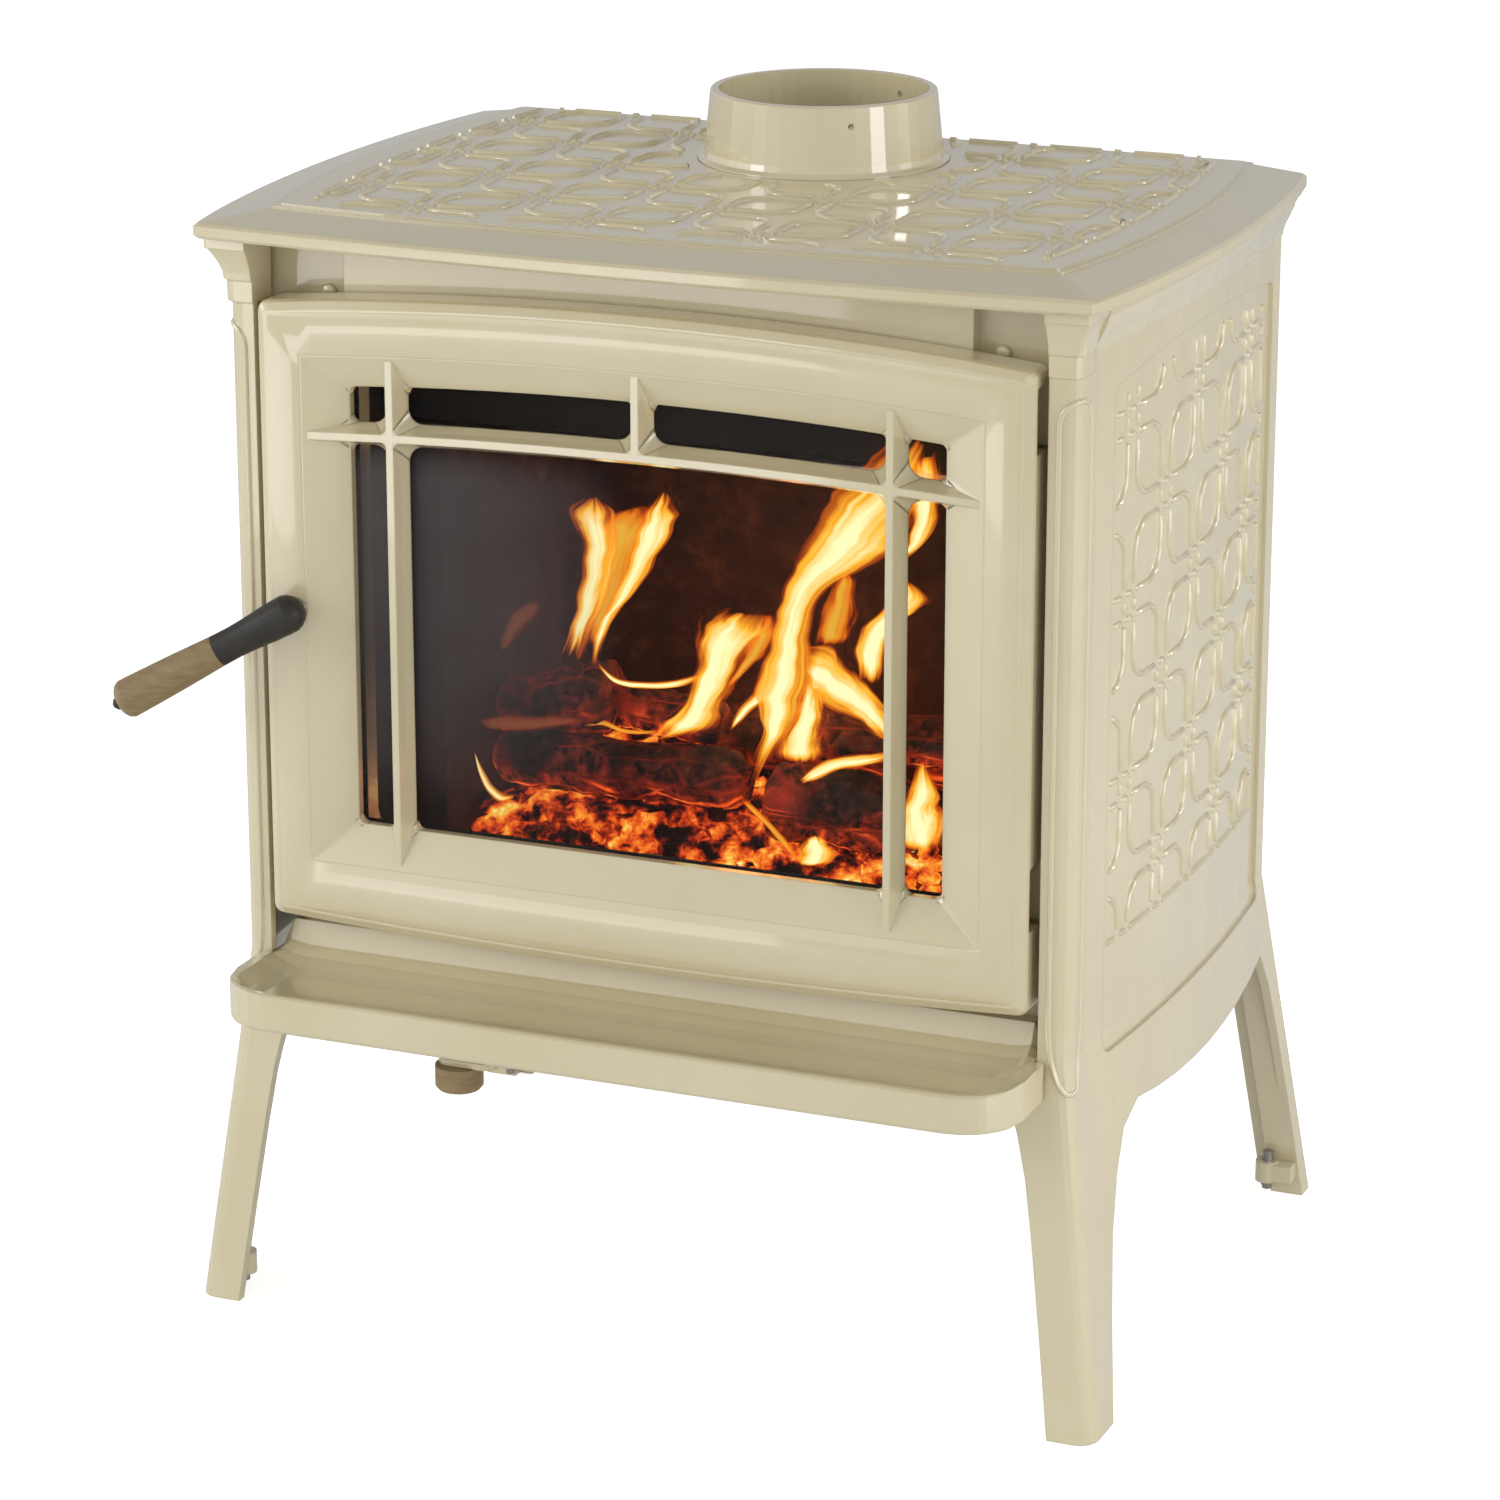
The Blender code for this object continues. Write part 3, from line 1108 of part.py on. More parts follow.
def firebox_shell(material):
    """The welded steel box behind the front casting, open at the front."""
    front = FRONT_BACK + SEAT
    shell = block("firebox_shell", (-BOX_HALF, front, BOX_BOTTOM), (BOX_HALF, BOX_REAR, BOX_TOP))
    room = block("room", (-BOX_HALF + BOX_WALL, front - 0.01, BOX_BOTTOM + BOX_WALL),
                 (BOX_HALF - BOX_WALL, BOX_REAR - BOX_WALL, BOX_TOP - BOX_WALL))
    flue = rod("flue", (0, FLUE_Y, BOX_TOP - 0.02), (0, FLUE_Y, BOX_TOP + 0.02),
               SPIGOT_RADIUS + SEAT, sides=ROUND_LARGE)
    inlet = block("inlet", (-AIR_INLET_HALF, AIR_INLET_Y - 0.0200, BOX_BOTTOM - 0.01),
                  (AIR_INLET_HALF, AIR_INLET_Y + 0.0200, BOX_BOTTOM + 0.02))
    cut(shell, room, flue, inlet)
    shell.data.materials.append(material)
    return shell


def bricks(material):
    """Six slabs that line the firebox: two in the floor, two at the rear, one each side."""
    wall = BOX_HALF - BOX_WALL - SEAT
    inner = wall - BRICK
    back = BOX_REAR - BOX_WALL - SEAT
    floor = BOX_BOTTOM + BOX_WALL + SEAT
    floor_top = floor + FLOOR_BRICK
    seat = floor_top + SEAT
    row = back - BRICK
    half_joint = BRICK_GAP / 2
    slabs = []
    for place, low, high in (("left", -wall, -half_joint), ("right", half_joint, wall)):
        slabs.append(block("floor_brick_" + place, (low, BRICK_FRONT, floor), (high, back, floor_top),
                           material))
        slabs.append(block("rear_brick_" + place, (low, row, seat), (high, back, BRICK_TOP),
                           material))
    for place, low, high in (("left", -wall, -inner), ("right", inner, wall)):
        slabs.append(block("side_brick_" + place, (low, BRICK_FRONT, seat),
                           (high, row - BRICK_GAP, BRICK_TOP), material))
    return slabs


def log_rest(material):
    """The cast grate bar in front of the floor bricks, over the air inlet."""
    wall = BOX_HALF - BOX_WALL - 0.001
    floor = BOX_BOTTOM + BOX_WALL + SEAT
    front = FRONT_BACK + 0.004
    rear = BRICK_FRONT - SEAT
    outline = [(front, floor), (rear, floor), (rear, floor + 0.006), (front + 0.014, floor + 0.006),
               (front + 0.008, floor + FLOOR_BRICK + 0.012), (front, floor + FLOOR_BRICK + 0.012)]
    bar = prism("log_rest", outline, "X", -wall, wall, material)
    slots = [block("slot", (x - 0.016, AIR_INLET_Y - 0.016, floor - 0.01),
                   (x + 0.016, AIR_INLET_Y + 0.012, floor + 0.02)) for x in (-0.022, 0.022)]
    return cut(bar, *slots)


def air_tubes(material):
    """Secondary air tubes across the firebox, bored, with a row of jets facing forwards."""
    half = BOX_HALF - BOX_WALL - SEAT
    height = BRICK_TOP + TUBE_RADIUS + SEAT
    tubes = []
    for place, y in TUBE_YS.items():
        profile = [(-half, TUBE_RADIUS - TUBE_WALL), (-half, TUBE_RADIUS), (half, TUBE_RADIUS),
                   (half, TUBE_RADIUS - TUBE_WALL)]
        tubes.append(ring_solid("secondary_air_tube_" + place, profile, (0, y, height), (1, 0, 0),
                                material, 16))
    return tubes


def baffle_board(material):
    half = BOX_HALF - BOX_WALL - 0.0010
    bottom = BRICK_TOP + 2 * TUBE_RADIUS + 3 * SEAT
    return block("baffle_board", (-half, BAFFLE_FRONT, bottom),
                 (half, BOX_REAR - BOX_WALL - 0.0010, bottom + BAFFLE_THICKNESS), material)


def back_casting(material):
    """The rear panel between the side castings, with two stiffening ribs."""
    panel = block("back_casting", (-FRONT_HALF, BACK_FACE, FRONT_BOTTOM),
                  (FRONT_HALF, BACK_FACE + WEB, BODY_TOP))
    ribs = [block("rib", (side * RIB_X - RIB_WIDTH / 2, BACK_FACE + WEB / 2,
                          FRONT_BOTTOM + RIB_MARGIN),
                  (side * RIB_X + RIB_WIDTH / 2, BACK_FACE + WEB + RIB_HEIGHT,
                   BODY_TOP - RIB_MARGIN))
            for side in (-1, 1)]
    join(panel, *ribs)
    panel.data.materials.append(material)
    return panel


def bottom_heat_shield(material):
    """A thin sheet hung under the firebox on four standoffs."""
    sheet = block("bottom_heat_shield", (-SHIELD_HALF, SHIELD_FRONT, SHIELD_Z),
                  (SHIELD_HALF, SHIELD_REAR, SHIELD_Z + SHIELD_THICKNESS))
    posts = [rod("post", (x, y, SHIELD_Z + SHIELD_THICKNESS / 2), (x, y, BOX_BOTTOM - SEAT),
                 STANDOFF_RADIUS, sides=12)
             for x in (-STANDOFF_X, STANDOFF_X) for y in STANDOFF_YS]
    join(sheet, *posts)
    sheet.data.materials.append(material)
    return sheet


def primary_air_box(material):
    """A shallow steel box under the inlet, with its own inlet hole for the gate."""
    box = block("primary_air_box", (-AIR_BOX_HALF, AIR_BOX_FRONT, AIR_BOX_BOTTOM),
                (AIR_BOX_HALF, AIR_BOX_REAR, BOX_BOTTOM - SEAT))
    room = block("room", (-AIR_BOX_HALF + AIR_BOX_WALL, AIR_BOX_FRONT + AIR_BOX_WALL,
                          AIR_BOX_BOTTOM + AIR_BOX_WALL),
                 (AIR_BOX_HALF - AIR_BOX_WALL, AIR_BOX_REAR - AIR_BOX_WALL, BOX_BOTTOM + 0.01))
    inlet = block("inlet", (AIR_PIVOT_X - AIR_HOLE_HALF_X, AIR_INLET_Y - AIR_HOLE_HALF_Y,
                            AIR_BOX_BOTTOM - 0.01),
                  (AIR_PIVOT_X + AIR_HOLE_HALF_X, AIR_INLET_Y + AIR_HOLE_HALF_Y,
                   AIR_BOX_BOTTOM + 0.01))
    pivot = rod("pivot", (AIR_PIVOT_X, AIR_PIVOT_Y, AIR_BOX_BOTTOM - 0.01),
                (AIR_PIVOT_X, AIR_PIVOT_Y, AIR_BOX_BOTTOM + 0.01), AIR_PIVOT_RADIUS + SEAT)
    cut(box, room, inlet, pivot)
    box.data.materials.append(material)
    return box


def air_pivot_bolt(material):
    """The bolt that the air lever and its gate turn on."""
    head = LEVER_TOP - LEVER_THICKNESS - SEAT - AIR_HEAD_HEIGHT
    profile = [(0, AIR_HEAD_RADIUS), (AIR_HEAD_HEIGHT, AIR_HEAD_RADIUS),
               (AIR_HEAD_HEIGHT, AIR_PIVOT_RADIUS),
               (AIR_BOX_BOTTOM + AIR_BOX_WALL + 0.0050 - head, AIR_PIVOT_RADIUS)]
    return turned("air_pivot_bolt", profile, (AIR_PIVOT_X, AIR_PIVOT_Y, head), (0, 0, 1), material,
                  ROUND_SMALL)


def air_gate(material):
    """The sector plate that swings over the air box's inlet."""
    low = AIR_BOX_BOTTOM - SEAT - GATE_THICKNESS
    centre = (AIR_PIVOT_X, AIR_PIVOT_Y)
    outline = arc(centre, GATE_RADIUS, -118, -62, 8) + arc(centre, GATE_HUB, -20, 200, 8)
    gate = prism("air_gate", outline, "Z", low, low + GATE_THICKNESS, material)
    return cut(gate, rod("bore", (*centre, low - 0.01), (*centre, low + 0.01),
                         AIR_PIVOT_RADIUS + SEAT))


def lever_line():
    """Direction from the pivot to the knob, flat."""
    return Vector((KNOB_X - AIR_PIVOT_X, KNOB_Y - AIR_PIVOT_Y)).normalized()


def air_lever(material):
    """The flat bar from the pivot to the tab that carries the knob."""
    low = LEVER_TOP - LEVER_THICKNESS
    line = lever_line()
    side = Vector((-line.y, line.x)) * LEVER_WIDTH / 2
    start = Vector((AIR_PIVOT_X, AIR_PIVOT_Y))
    end = Vector((KNOB_X, KNOB_Y))
    heading = math.degrees(math.atan2(line.y, line.x))
    outline = arc(start, LEVER_WIDTH / 2, heading + 90, heading + 270, 6)
    outline += [tuple(end - side), tuple(end + side)]
    bar = prism("air_lever", outline, "Z", low, LEVER_TOP)
    half = LEVER_WIDTH / 2
    tab_outline = arc((TAB_RIGHT - half, KNOB_Y), half, -90, 90, 6)
    tab_outline += arc((TAB_LEFT + half, KNOB_Y), half, 90, 270, 6)
    tab = prism("tab", tab_outline, "Z", low, LEVER_TOP)
    join(bar, tab)
    bore = rod("bore", (*start, low - 0.01), (*start, low + 0.02), AIR_PIVOT_RADIUS + SEAT)
    cut(bar, bore)
    bar.data.materials.append(material)
    return bar


def air_knob(material):
    """The upright brown knob under the ash lip."""
    top = LEVER_TOP - LEVER_THICKNESS - SEAT
    profile = [(0, KNOB_RADIUS - 0.0060), (0.0010, KNOB_RADIUS - 0.0020), (0.0035, KNOB_RADIUS),
               (top - KNOB_BOTTOM, KNOB_RADIUS)]
    return turned("air_knob", profile, (KNOB_X, KNOB_Y, KNOB_BOTTOM), (0, 0, 1), material, ROUND)


def levelling_screws(material):
    """Four headless screws in the lugs of the legs."""
    screws = []
    for side, side_name in ((-1, "left"), (1, "right")):
        for y, end_name in ((LUG_FRONT_Y, "front"), (LUG_REAR_Y, "rear")):
            name = "levelling_screw_" + end_name + "_" + side_name
            screws.append(rod(name, (side * LUG_X, y, SCREW_BOTTOM),
                              (side * LUG_X, y, SCREW_BOTTOM + SCREW_LENGTH), SCREW_RADIUS,
                              material))
    return screws


def smooth(item):
    item.data.shade_smooth()
    item.data.set_sharp_from_angle(angle=math.radians(32))


def carry(items, location, name):
    """Parent items to an empty at a place, without moving them."""
    holder = bpy.data.objects.new(name, None)
    bpy.context.collection.objects.link(holder)
    holder.location = location
    for item in items:
        item.parent = holder
        item.matrix_parent_inverse = Matrix.Translation(-Vector(location))
    return holder


def main():
    clear_scene()
    paint = make_materials()
    enamel, steel, black = paint["enamel"], paint["steel"], paint["black"]
    right = side_casting("side_casting_right", enamel)
    body = [right, mirrored(right, "side_casting_left"), top_plate(enamel), flue_collar(enamel),
            front_casting(enamel), back_casting(enamel), ash_lip(enamel),
            firebox_shell(black), log_rest(black), baffle_board(paint["board"]),
            bottom_heat_shield(black), primary_air_box(black), air_pivot_bolt(steel),
            latch_catch(steel), *front_screws(enamel), *bricks(paint["brick"]),
            *air_tubes(steel)]
    screws = levelling_screws(steel)
    door = [door_casting(enamel), door_glass(paint["glass"]), glass_gasket(paint["rope"]),
            *glass_clips(steel), door_rope(paint["rope"]), hinge_pin("upper", steel),
            hinge_pin("lower", steel)]
    latch = [latch_spindle(steel), latch_cam(steel), latch_cam_nut(steel), handle_ferrule(black),
             handle_grip(paint["wood"]), grip_bolt(black)]
    air = [air_gate(steel), air_lever(enamel), air_knob(paint["wood"])]
    for item in body + screws + door + latch + air:
        smooth(item)
    latch_axis = carry(latch, (LATCH_X, BALL_Y, LATCH_Z), "latch_axis")
    door_axis = carry(door + [latch_axis], (HINGE_X, HINGE_Y, 0), "door_axis")
    air_axis = carry(air, (AIR_PIVOT_X, AIR_PIVOT_Y, 0), "air_axis")
    stove = carry(body + screws + [door_axis, air_axis], (0, 0, 0), "stove")
    stove.location = (CENTRE_X, CENTRE_Y, 0)


main()
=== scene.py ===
"""A cast iron wood stove in glossy cream enamel, with a fire behind its barred glass door.

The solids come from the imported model. This script dresses them: relief on the castings,
materials, the fire, the studio and the camera.
"""

import json
import math
import random

import bmesh
import bpy
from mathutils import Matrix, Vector, noise


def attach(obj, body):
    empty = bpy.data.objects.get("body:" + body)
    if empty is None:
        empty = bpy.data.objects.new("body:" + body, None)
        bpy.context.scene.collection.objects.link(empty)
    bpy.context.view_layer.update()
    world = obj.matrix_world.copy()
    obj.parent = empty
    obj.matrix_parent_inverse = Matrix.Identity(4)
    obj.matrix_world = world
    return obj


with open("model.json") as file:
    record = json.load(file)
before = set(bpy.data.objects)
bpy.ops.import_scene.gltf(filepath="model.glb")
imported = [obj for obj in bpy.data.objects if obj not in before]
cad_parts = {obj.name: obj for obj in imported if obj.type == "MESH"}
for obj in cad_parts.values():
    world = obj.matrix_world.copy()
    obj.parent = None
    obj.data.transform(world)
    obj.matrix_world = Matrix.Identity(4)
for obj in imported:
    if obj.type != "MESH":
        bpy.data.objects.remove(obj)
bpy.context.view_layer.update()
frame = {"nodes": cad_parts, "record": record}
nodes = frame["nodes"]

# The middle of the body in the model's frame
CENTRE_X = 0.0125
CENTRE_Y = -0.2020

# Camera, fitted to the photograph
CAMERA_PLACE = (1.2696, -2.8527, 1.3956)
CAMERA_DOWN = 17.31
CAMERA_TURN = 22.60
CAMERA_LENS = 124.03

# Fretwork: rounded squares on every other point of a square lattice
TOP_PITCH = 0.0588
TOP_ROW_START = 0.0690
SIDE_PITCH = 0.0593
SIDE_ROW_START = 0.5203
SIDE_COLUMN_START = 0.1703
RING_INSET = 0.0068
SIDE_INSET = 0.0082
RING_CORNER = 0.0205
CROSSING_GAP = 0.0035
BORDER_GAP = 0.0032
BOWED_BORDER_GAP = 0.0034
BEAD_WIDTH = 0.0044
BEAD_HEIGHT = 0.0023
FLUE_CLEAR = 0.0950

BODY_HALF = 0.2894
BODY_FRONT = 0.0180
PLATE_TOP = 0.7450
PANEL_SINK = 0.0025
SIDE_BOW = 0.0095
BOW_FRONT = 0.0520
BOW_REAR = 0.4130
FLUE_Y = 0.3259


def place(x, y, z):
    """A point given from the middle of the stove's front, in the model's frame."""
    return Vector((x + CENTRE_X, y + CENTRE_Y, z))


# Materials


class Nodes:
    """A short way to write a material's node tree."""

    def __init__(self, name):
        self.material = bpy.data.materials.new(name)
        self.material.use_nodes = True
        self.tree = self.material.node_tree
        self.shader = self.tree.nodes["Principled BSDF"]

    def add(self, kind, **settings):
        node = self.tree.nodes.new("ShaderNode" + kind)
        for key, value in settings.items():
            setattr(node, key, value)
        return node

    def link(self, source, target):
        self.tree.links.new(source, target)

    def feed(self, source, name):
        self.link(source, self.shader.inputs[name])

    def set(self, **values):
        for key, value in values.items():
            self.shader.inputs[key.replace("_", " ")].default_value = value

    def place(self):
        return self.add("TexCoord").outputs["Object"]

    def noise(self, scale, detail=3.0, roughness=0.5, vector=None, distortion=0.0):
        node = self.add("TexNoise")
        node.inputs["Scale"].default_value = scale
        node.inputs["Detail"].default_value = detail
        node.inputs["Roughness"].default_value = roughness
        node.inputs["Distortion"].default_value = distortion
        self.link(vector or self.place(), node.inputs["Vector"])
        return node.outputs["Fac"]

    def stretched(self, x, y, z):
        mapping = self.add("Mapping")
        mapping.inputs["Scale"].default_value = (x, y, z)
        self.link(self.place(), mapping.inputs["Vector"])
        return mapping.outputs["Vector"]

    def ramp(self, source, *stops):
        node = self.add("ValToRGB")
        elements = node.color_ramp.elements
        while len(elements) < len(stops):
            elements.new(0.5)
        for element, (position, colour) in zip(elements, stops):
            element.position = position
            element.color = (*colour, 1.0)
        self.link(source, node.inputs["Fac"])
        return node.outputs["Color"]

    def grade(self, source, low, high, from_low=0.0, from_high=1.0):
        node = self.add("MapRange")
        node.inputs["From Min"].default_value = from_low
        node.inputs["From Max"].default_value = from_high
        node.inputs["To Min"].default_value = low
        node.inputs["To Max"].default_value = high
        self.link(source, node.inputs["Value"])
        return node.outputs["Result"]

    def mix(self, factor, first, second, blend="MIX"):
        node = self.add("Mix", data_type="RGBA", blend_type=blend)
        sockets = {"Factor": node.inputs[0], "A": node.inputs[6], "B": node.inputs[7]}
        for key, value in (("Factor", factor), ("A", first), ("B", second)):
            if isinstance(value, bpy.types.NodeSocket):
                self.link(value, sockets[key])
            elif key == "Factor":
                sockets[key].default_value = value
            else:
                sockets[key].default_value = (*value, 1.0)
        return node.outputs[2]

    def math(self, operation, first, second=None):
        node = self.add("Math", operation=operation)
        for socket, value in zip(node.inputs, (first, second)):
            if isinstance(value, bpy.types.NodeSocket):
                self.link(value, socket)
            elif value is not None:
                socket.default_value = value
        return node.outputs[0]

    def bump(self, *layers, normal=None):
        for height, distance, strength in layers:
            node = self.add("Bump")
            node.inputs["Strength"].default_value = strength
            node.inputs["Distance"].default_value = distance
            self.link(height, node.inputs["Height"])
            if normal is not None:
                self.link(normal, node.inputs["Normal"])
            normal = node.outputs["Normal"]
        self.link(normal, self.shader.inputs["Normal"])

    def rounded_edges(self, radius):
        node = self.add("Bevel", samples=6)
        node.inputs["Radius"].default_value = radius
        return node.outputs["Normal"]


def srgb(red, green, blue):
    """The linear colour of a colour written in the usual 0 to 255 steps."""
    return tuple((c / 255 / 12.92) if c / 255 < 0.04045 else ((c / 255 + 0.055) / 1.055) ** 2.4
                 for c in (red, green, blue))


def enamel_material():
    """Glossy glass enamel: nearly even colour, thin over edges, faintly rippled."""
    m = Nodes("cream_enamel")
    cloud = m.noise(9.0, 3.0)
    speck = m.noise(900.0, 2.0)
    colour = m.ramp(cloud, (0.30, srgb(212, 200, 163)), (0.70, srgb(218, 207, 172)))
    edge = m.rounded_edges(0.0016)
    geometry = m.add("NewGeometry")
    sharp = m.add("VectorMath", operation="DOT_PRODUCT")
    m.link(edge, sharp.inputs[0])
    m.link(geometry.outputs["Normal"], sharp.inputs[1])
    thin = m.grade(sharp.outputs["Value"], 0.30, 0.0, 0.80, 0.995)
    colour = m.mix(thin, colour, srgb(196, 178, 136))
    colour = m.mix(m.grade(speck, 0.0, 0.10, 0.62, 0.78), colour, srgb(176, 158, 118))
    m.feed(colour, "Base Color")
    m.feed(m.grade(cloud, 0.20, 0.30), "Roughness")
    m.set(Specular_IOR_Level=0.6, Coat_Weight=1.0, Coat_Roughness=0.05, Coat_IOR=1.8)
    m.bump((m.noise(38.0, 2.0), 0.0012, 0.10), (m.noise(420.0, 2.0), 0.0002, 0.12), normal=edge)
    return m.material


def black_material():
    """Heat-proof black paint with a fine grain and softened edges."""
    m = Nodes("black_paint")
    grain = m.noise(700.0, 4.0)
    edge = m.rounded_edges(0.0008)
    colour = m.ramp(m.noise(40.0, 4.0), (0.3, srgb(36, 33, 29)), (0.75, srgb(47, 43, 38)))
    m.feed(colour, "Base Color")
    m.feed(m.grade(grain, 0.42, 0.60), "Roughness")
    m.bump((grain, 0.0003, 0.25), normal=edge)
    return m.material


def grip_material():
    """The warm brown of the handle and the knob, with fine lengthwise grain."""
    m = Nodes("brown_grip")
    grain = m.noise(60.0, 6.0, 0.6, m.stretched(1.0, 1.0, 6.0))
    edge = m.rounded_edges(0.0010)
    colour = m.ramp(grain, (0.25, srgb(126, 105, 72)), (0.55, srgb(146, 125, 88)),
                    (0.80, srgb(158, 138, 100)))
    m.feed(colour, "Base Color")
    m.feed(m.grade(grain, 0.38, 0.50), "Roughness")
    m.bump((grain, 0.0004, 0.15), normal=edge)
    return m.material


def steel_material():
    """Plain bright steel with fine turning marks and slight dulling."""
    m = Nodes("bare_steel")
    marks = m.noise(500.0, 3.0, 0.5, m.stretched(1.0, 8.0, 1.0))
    cloud = m.noise(60.0, 4.0)
    colour = m.ramp(cloud, (0.30, srgb(148, 144, 138)), (0.75, srgb(186, 182, 176)))
    m.feed(colour, "Base Color")
    m.feed(m.grade(cloud, 0.28, 0.46), "Roughness")
    m.set(Metallic=1.0)
    m.bump((marks, 0.0002, 0.2), normal=m.rounded_edges(0.0004))
    return m.material


def soot_material():
    """Black steel inside the firebox, dusty with soot and ash."""
    m = Nodes("sooty_steel")
    dust = m.noise(70.0, 6.0, 0.65)
    colour = m.ramp(dust, (0.30, srgb(26, 24, 23)), (0.70, srgb(45, 42, 40)))
    m.feed(colour, "Base Color")
    m.feed(m.grade(dust, 0.62, 0.85), "Roughness")
    m.bump((dust, 0.0008, 0.35))
    return m.material


def brick_material():
    """Fired brick blackened by smoke, coarser and redder where the fire keeps it clean."""
    m = Nodes("firebrick")
    coarse = m.noise(28.0, 6.0, 0.65)
    pits = m.noise(260.0, 4.0, 0.6)
    colour = m.ramp(coarse, (0.30, srgb(40, 31, 29)), (0.55, srgb(78, 52, 42)),
                    (0.78, srgb(116, 80, 62)))
    colour = m.mix(m.grade(pits, 0.0, 0.6, 0.5, 0.75), colour, srgb(38, 30, 28))
    m.feed(colour, "Base Color")
    m.set(Roughness=0.92)
    m.bump((coarse, 0.002, 0.4), (pits, 0.0008, 0.5))
    return m.material


def board_material():
    """Pale fibrous insulating board, stained by smoke."""
    m = Nodes("insulating_board")
    fibre = m.noise(220.0, 5.0, 0.7, m.stretched(1.0, 0.3, 1.0))
    stain = m.noise(12.0, 4.0)
    colour = m.mix(stain, srgb(48, 43, 38), srgb(28, 25, 23))
    m.feed(colour, "Base Color")
    m.set(Roughness=0.95)
    m.bump((fibre, 0.0006, 0.5))
    return m.material


def rope_material():
    """Braided glass rope, blackened by smoke."""
    m = Nodes("rope_gasket")
    braid = m.add("TexWave", wave_type="BANDS", bands_direction="DIAGONAL")
    braid.inputs["Scale"].default_value = 130.0
    braid.inputs["Distortion"].default_value = 2.5
    braid.inputs["Detail"].default_value = 2.0
    m.link(m.place(), braid.inputs["Vector"])
    weave = braid.outputs["Fac"]
    colour = m.ramp(weave, (0.15, srgb(26, 24, 22)), (0.8, srgb(40, 37, 34)))
    m.feed(colour, "Base Color")
    m.set(Roughness=0.95)
    m.bump((weave, 0.0010, 0.6), (m.noise(500.0, 4.0), 0.0004, 0.4))
    return m.material


def glass_material():
    """Clear ceramic glass, with a grey haze painted over its left part: painted light that stands
    in for the firelit wall seen through it.
    """
    m = Nodes("ceramic_glass")
    haze = m.noise(7.0, 5.0, 0.6)
    split = m.add("SeparateXYZ")
    m.link(m.place(), split.inputs["Vector"])
    left = m.grade(split.outputs["X"], 0.66, 0.0, CENTRE_X - 0.150, CENTRE_X - 0.020)
    below = m.grade(split.outputs["Z"], 1.0, 0.0, 0.578, 0.602)
    above = m.grade(split.outputs["Z"], 0.1, 1.0, 0.36, 0.46)
    # Painted light: the grey haze on the left part of the glass, between mid height and the cross
    # bar, stands in for the firelit firebox wall behind it.
    painted_wall_haze = m.math("MULTIPLY", left, m.grade(haze, 0.80, 1.10, 0.3, 0.7))
    painted_wall_haze = m.math("MULTIPLY", painted_wall_haze, m.math("MULTIPLY", below, above))
    m.feed(m.math("ADD", painted_wall_haze, 0.03), "Alpha")
    m.feed(m.ramp(haze, (0.3, srgb(80, 75, 75)), (0.7, srgb(92, 87, 88))), "Base Color")
    m.set(Roughness=0.04, Specular_IOR_Level=0.10)
    return m.material


def log_material():
    """Charred wood, cracked across into blocks, red where the heat shows through."""
    m = Nodes("charred_wood")
    along = m.add("UVMap").outputs["UV"]
    scale = m.add("Mapping")
    scale.inputs["Scale"].default_value = (7.0, 3.2, 1.0)
    m.link(along, scale.inputs["Vector"])
    cracks = m.add("TexVoronoi", feature="DISTANCE_TO_EDGE")
    cracks.inputs["Scale"].default_value = 1.0
    cracks.inputs["Randomness"].default_value = 0.8
    m.link(scale.outputs["Vector"], cracks.inputs["Vector"])
    crack = cracks.outputs["Distance"]
    rough = m.noise(110.0, 6.0, 0.7)
    heat = m.noise(20.0, 3.0, 0.5)
    facing = m.add("SeparateXYZ")
    m.link(m.add("NewGeometry").outputs["Normal"], facing.inputs["Vector"])
    under = m.grade(facing.outputs["Z"], 1.0, 0.25, -0.7, 0.5)
    colour = m.ramp(rough, (0.35, srgb(20, 14, 12)), (0.60, srgb(62, 40, 31)),
                    (0.80, srgb(128, 86, 66)))
    m.feed(colour, "Base Color")
    m.set(Roughness=0.85)
    glowing = m.math("MULTIPLY", m.grade(heat, 0.0, 1.0, 0.40, 0.62), under)
    skin = m.math("MULTIPLY", m.grade(rough, 0.0, 0.75, 0.42, 0.68), glowing)
    split = m.math("MULTIPLY", m.grade(crack, 1.0, 0.0, 0.01, 0.07), glowing)
    hot = m.math("MAXIMUM", skin, split)
    glow = m.ramp(hot, (0.0, (0.0, 0.0, 0.0)), (0.35, (0.30, 0.018, 0.004)),
                  (0.70, (0.85, 0.10, 0.01)), (1.0, (1.0, 0.40, 0.06)))
    m.feed(glow, "Emission Color")
    m.set(Emission_Strength=1.2)
    m.bump((crack, 0.006, 0.8), (rough, 0.003, 0.7))
    return m.material


def ember_material(name, warmth):
    """Glowing charcoal: yellow where it breathes, red around that, black where it has died."""
    m = Nodes(name)
    crust = m.grade(m.noise(80.0, 5.0, 0.62), 0.0, 1.0, 0.34, 0.66)
    heat = m.grade(m.noise(26.0, 3.0, 0.55), 0.0, 1.0, 0.32, 0.68)
    both = m.math("ADD", m.math("MULTIPLY", crust, 0.42), m.math("MULTIPLY", heat, 0.58))
    glow = m.ramp(both, (0.40 - warmth, (0.004, 0.001, 0.001)),
                  (0.50 - warmth, (0.22, 0.012, 0.002)), (0.60 - warmth, (0.75, 0.07, 0.007)),
                  (0.72 - warmth, (1.0, 0.26, 0.02)), (0.83 - warmth, (1.0, 0.60, 0.08)),
                  (0.94 - warmth, (1.0, 0.92, 0.50)))
    m.feed(m.ramp(crust, (0.25, srgb(14, 9, 8)), (0.85, srgb(62, 38, 30))), "Base Color")
    m.feed(glow, "Emission Color")
    m.set(Emission_Strength=1.0, Roughness=0.95)
    m.bump((crust, 0.003, 0.8))
    return m.material


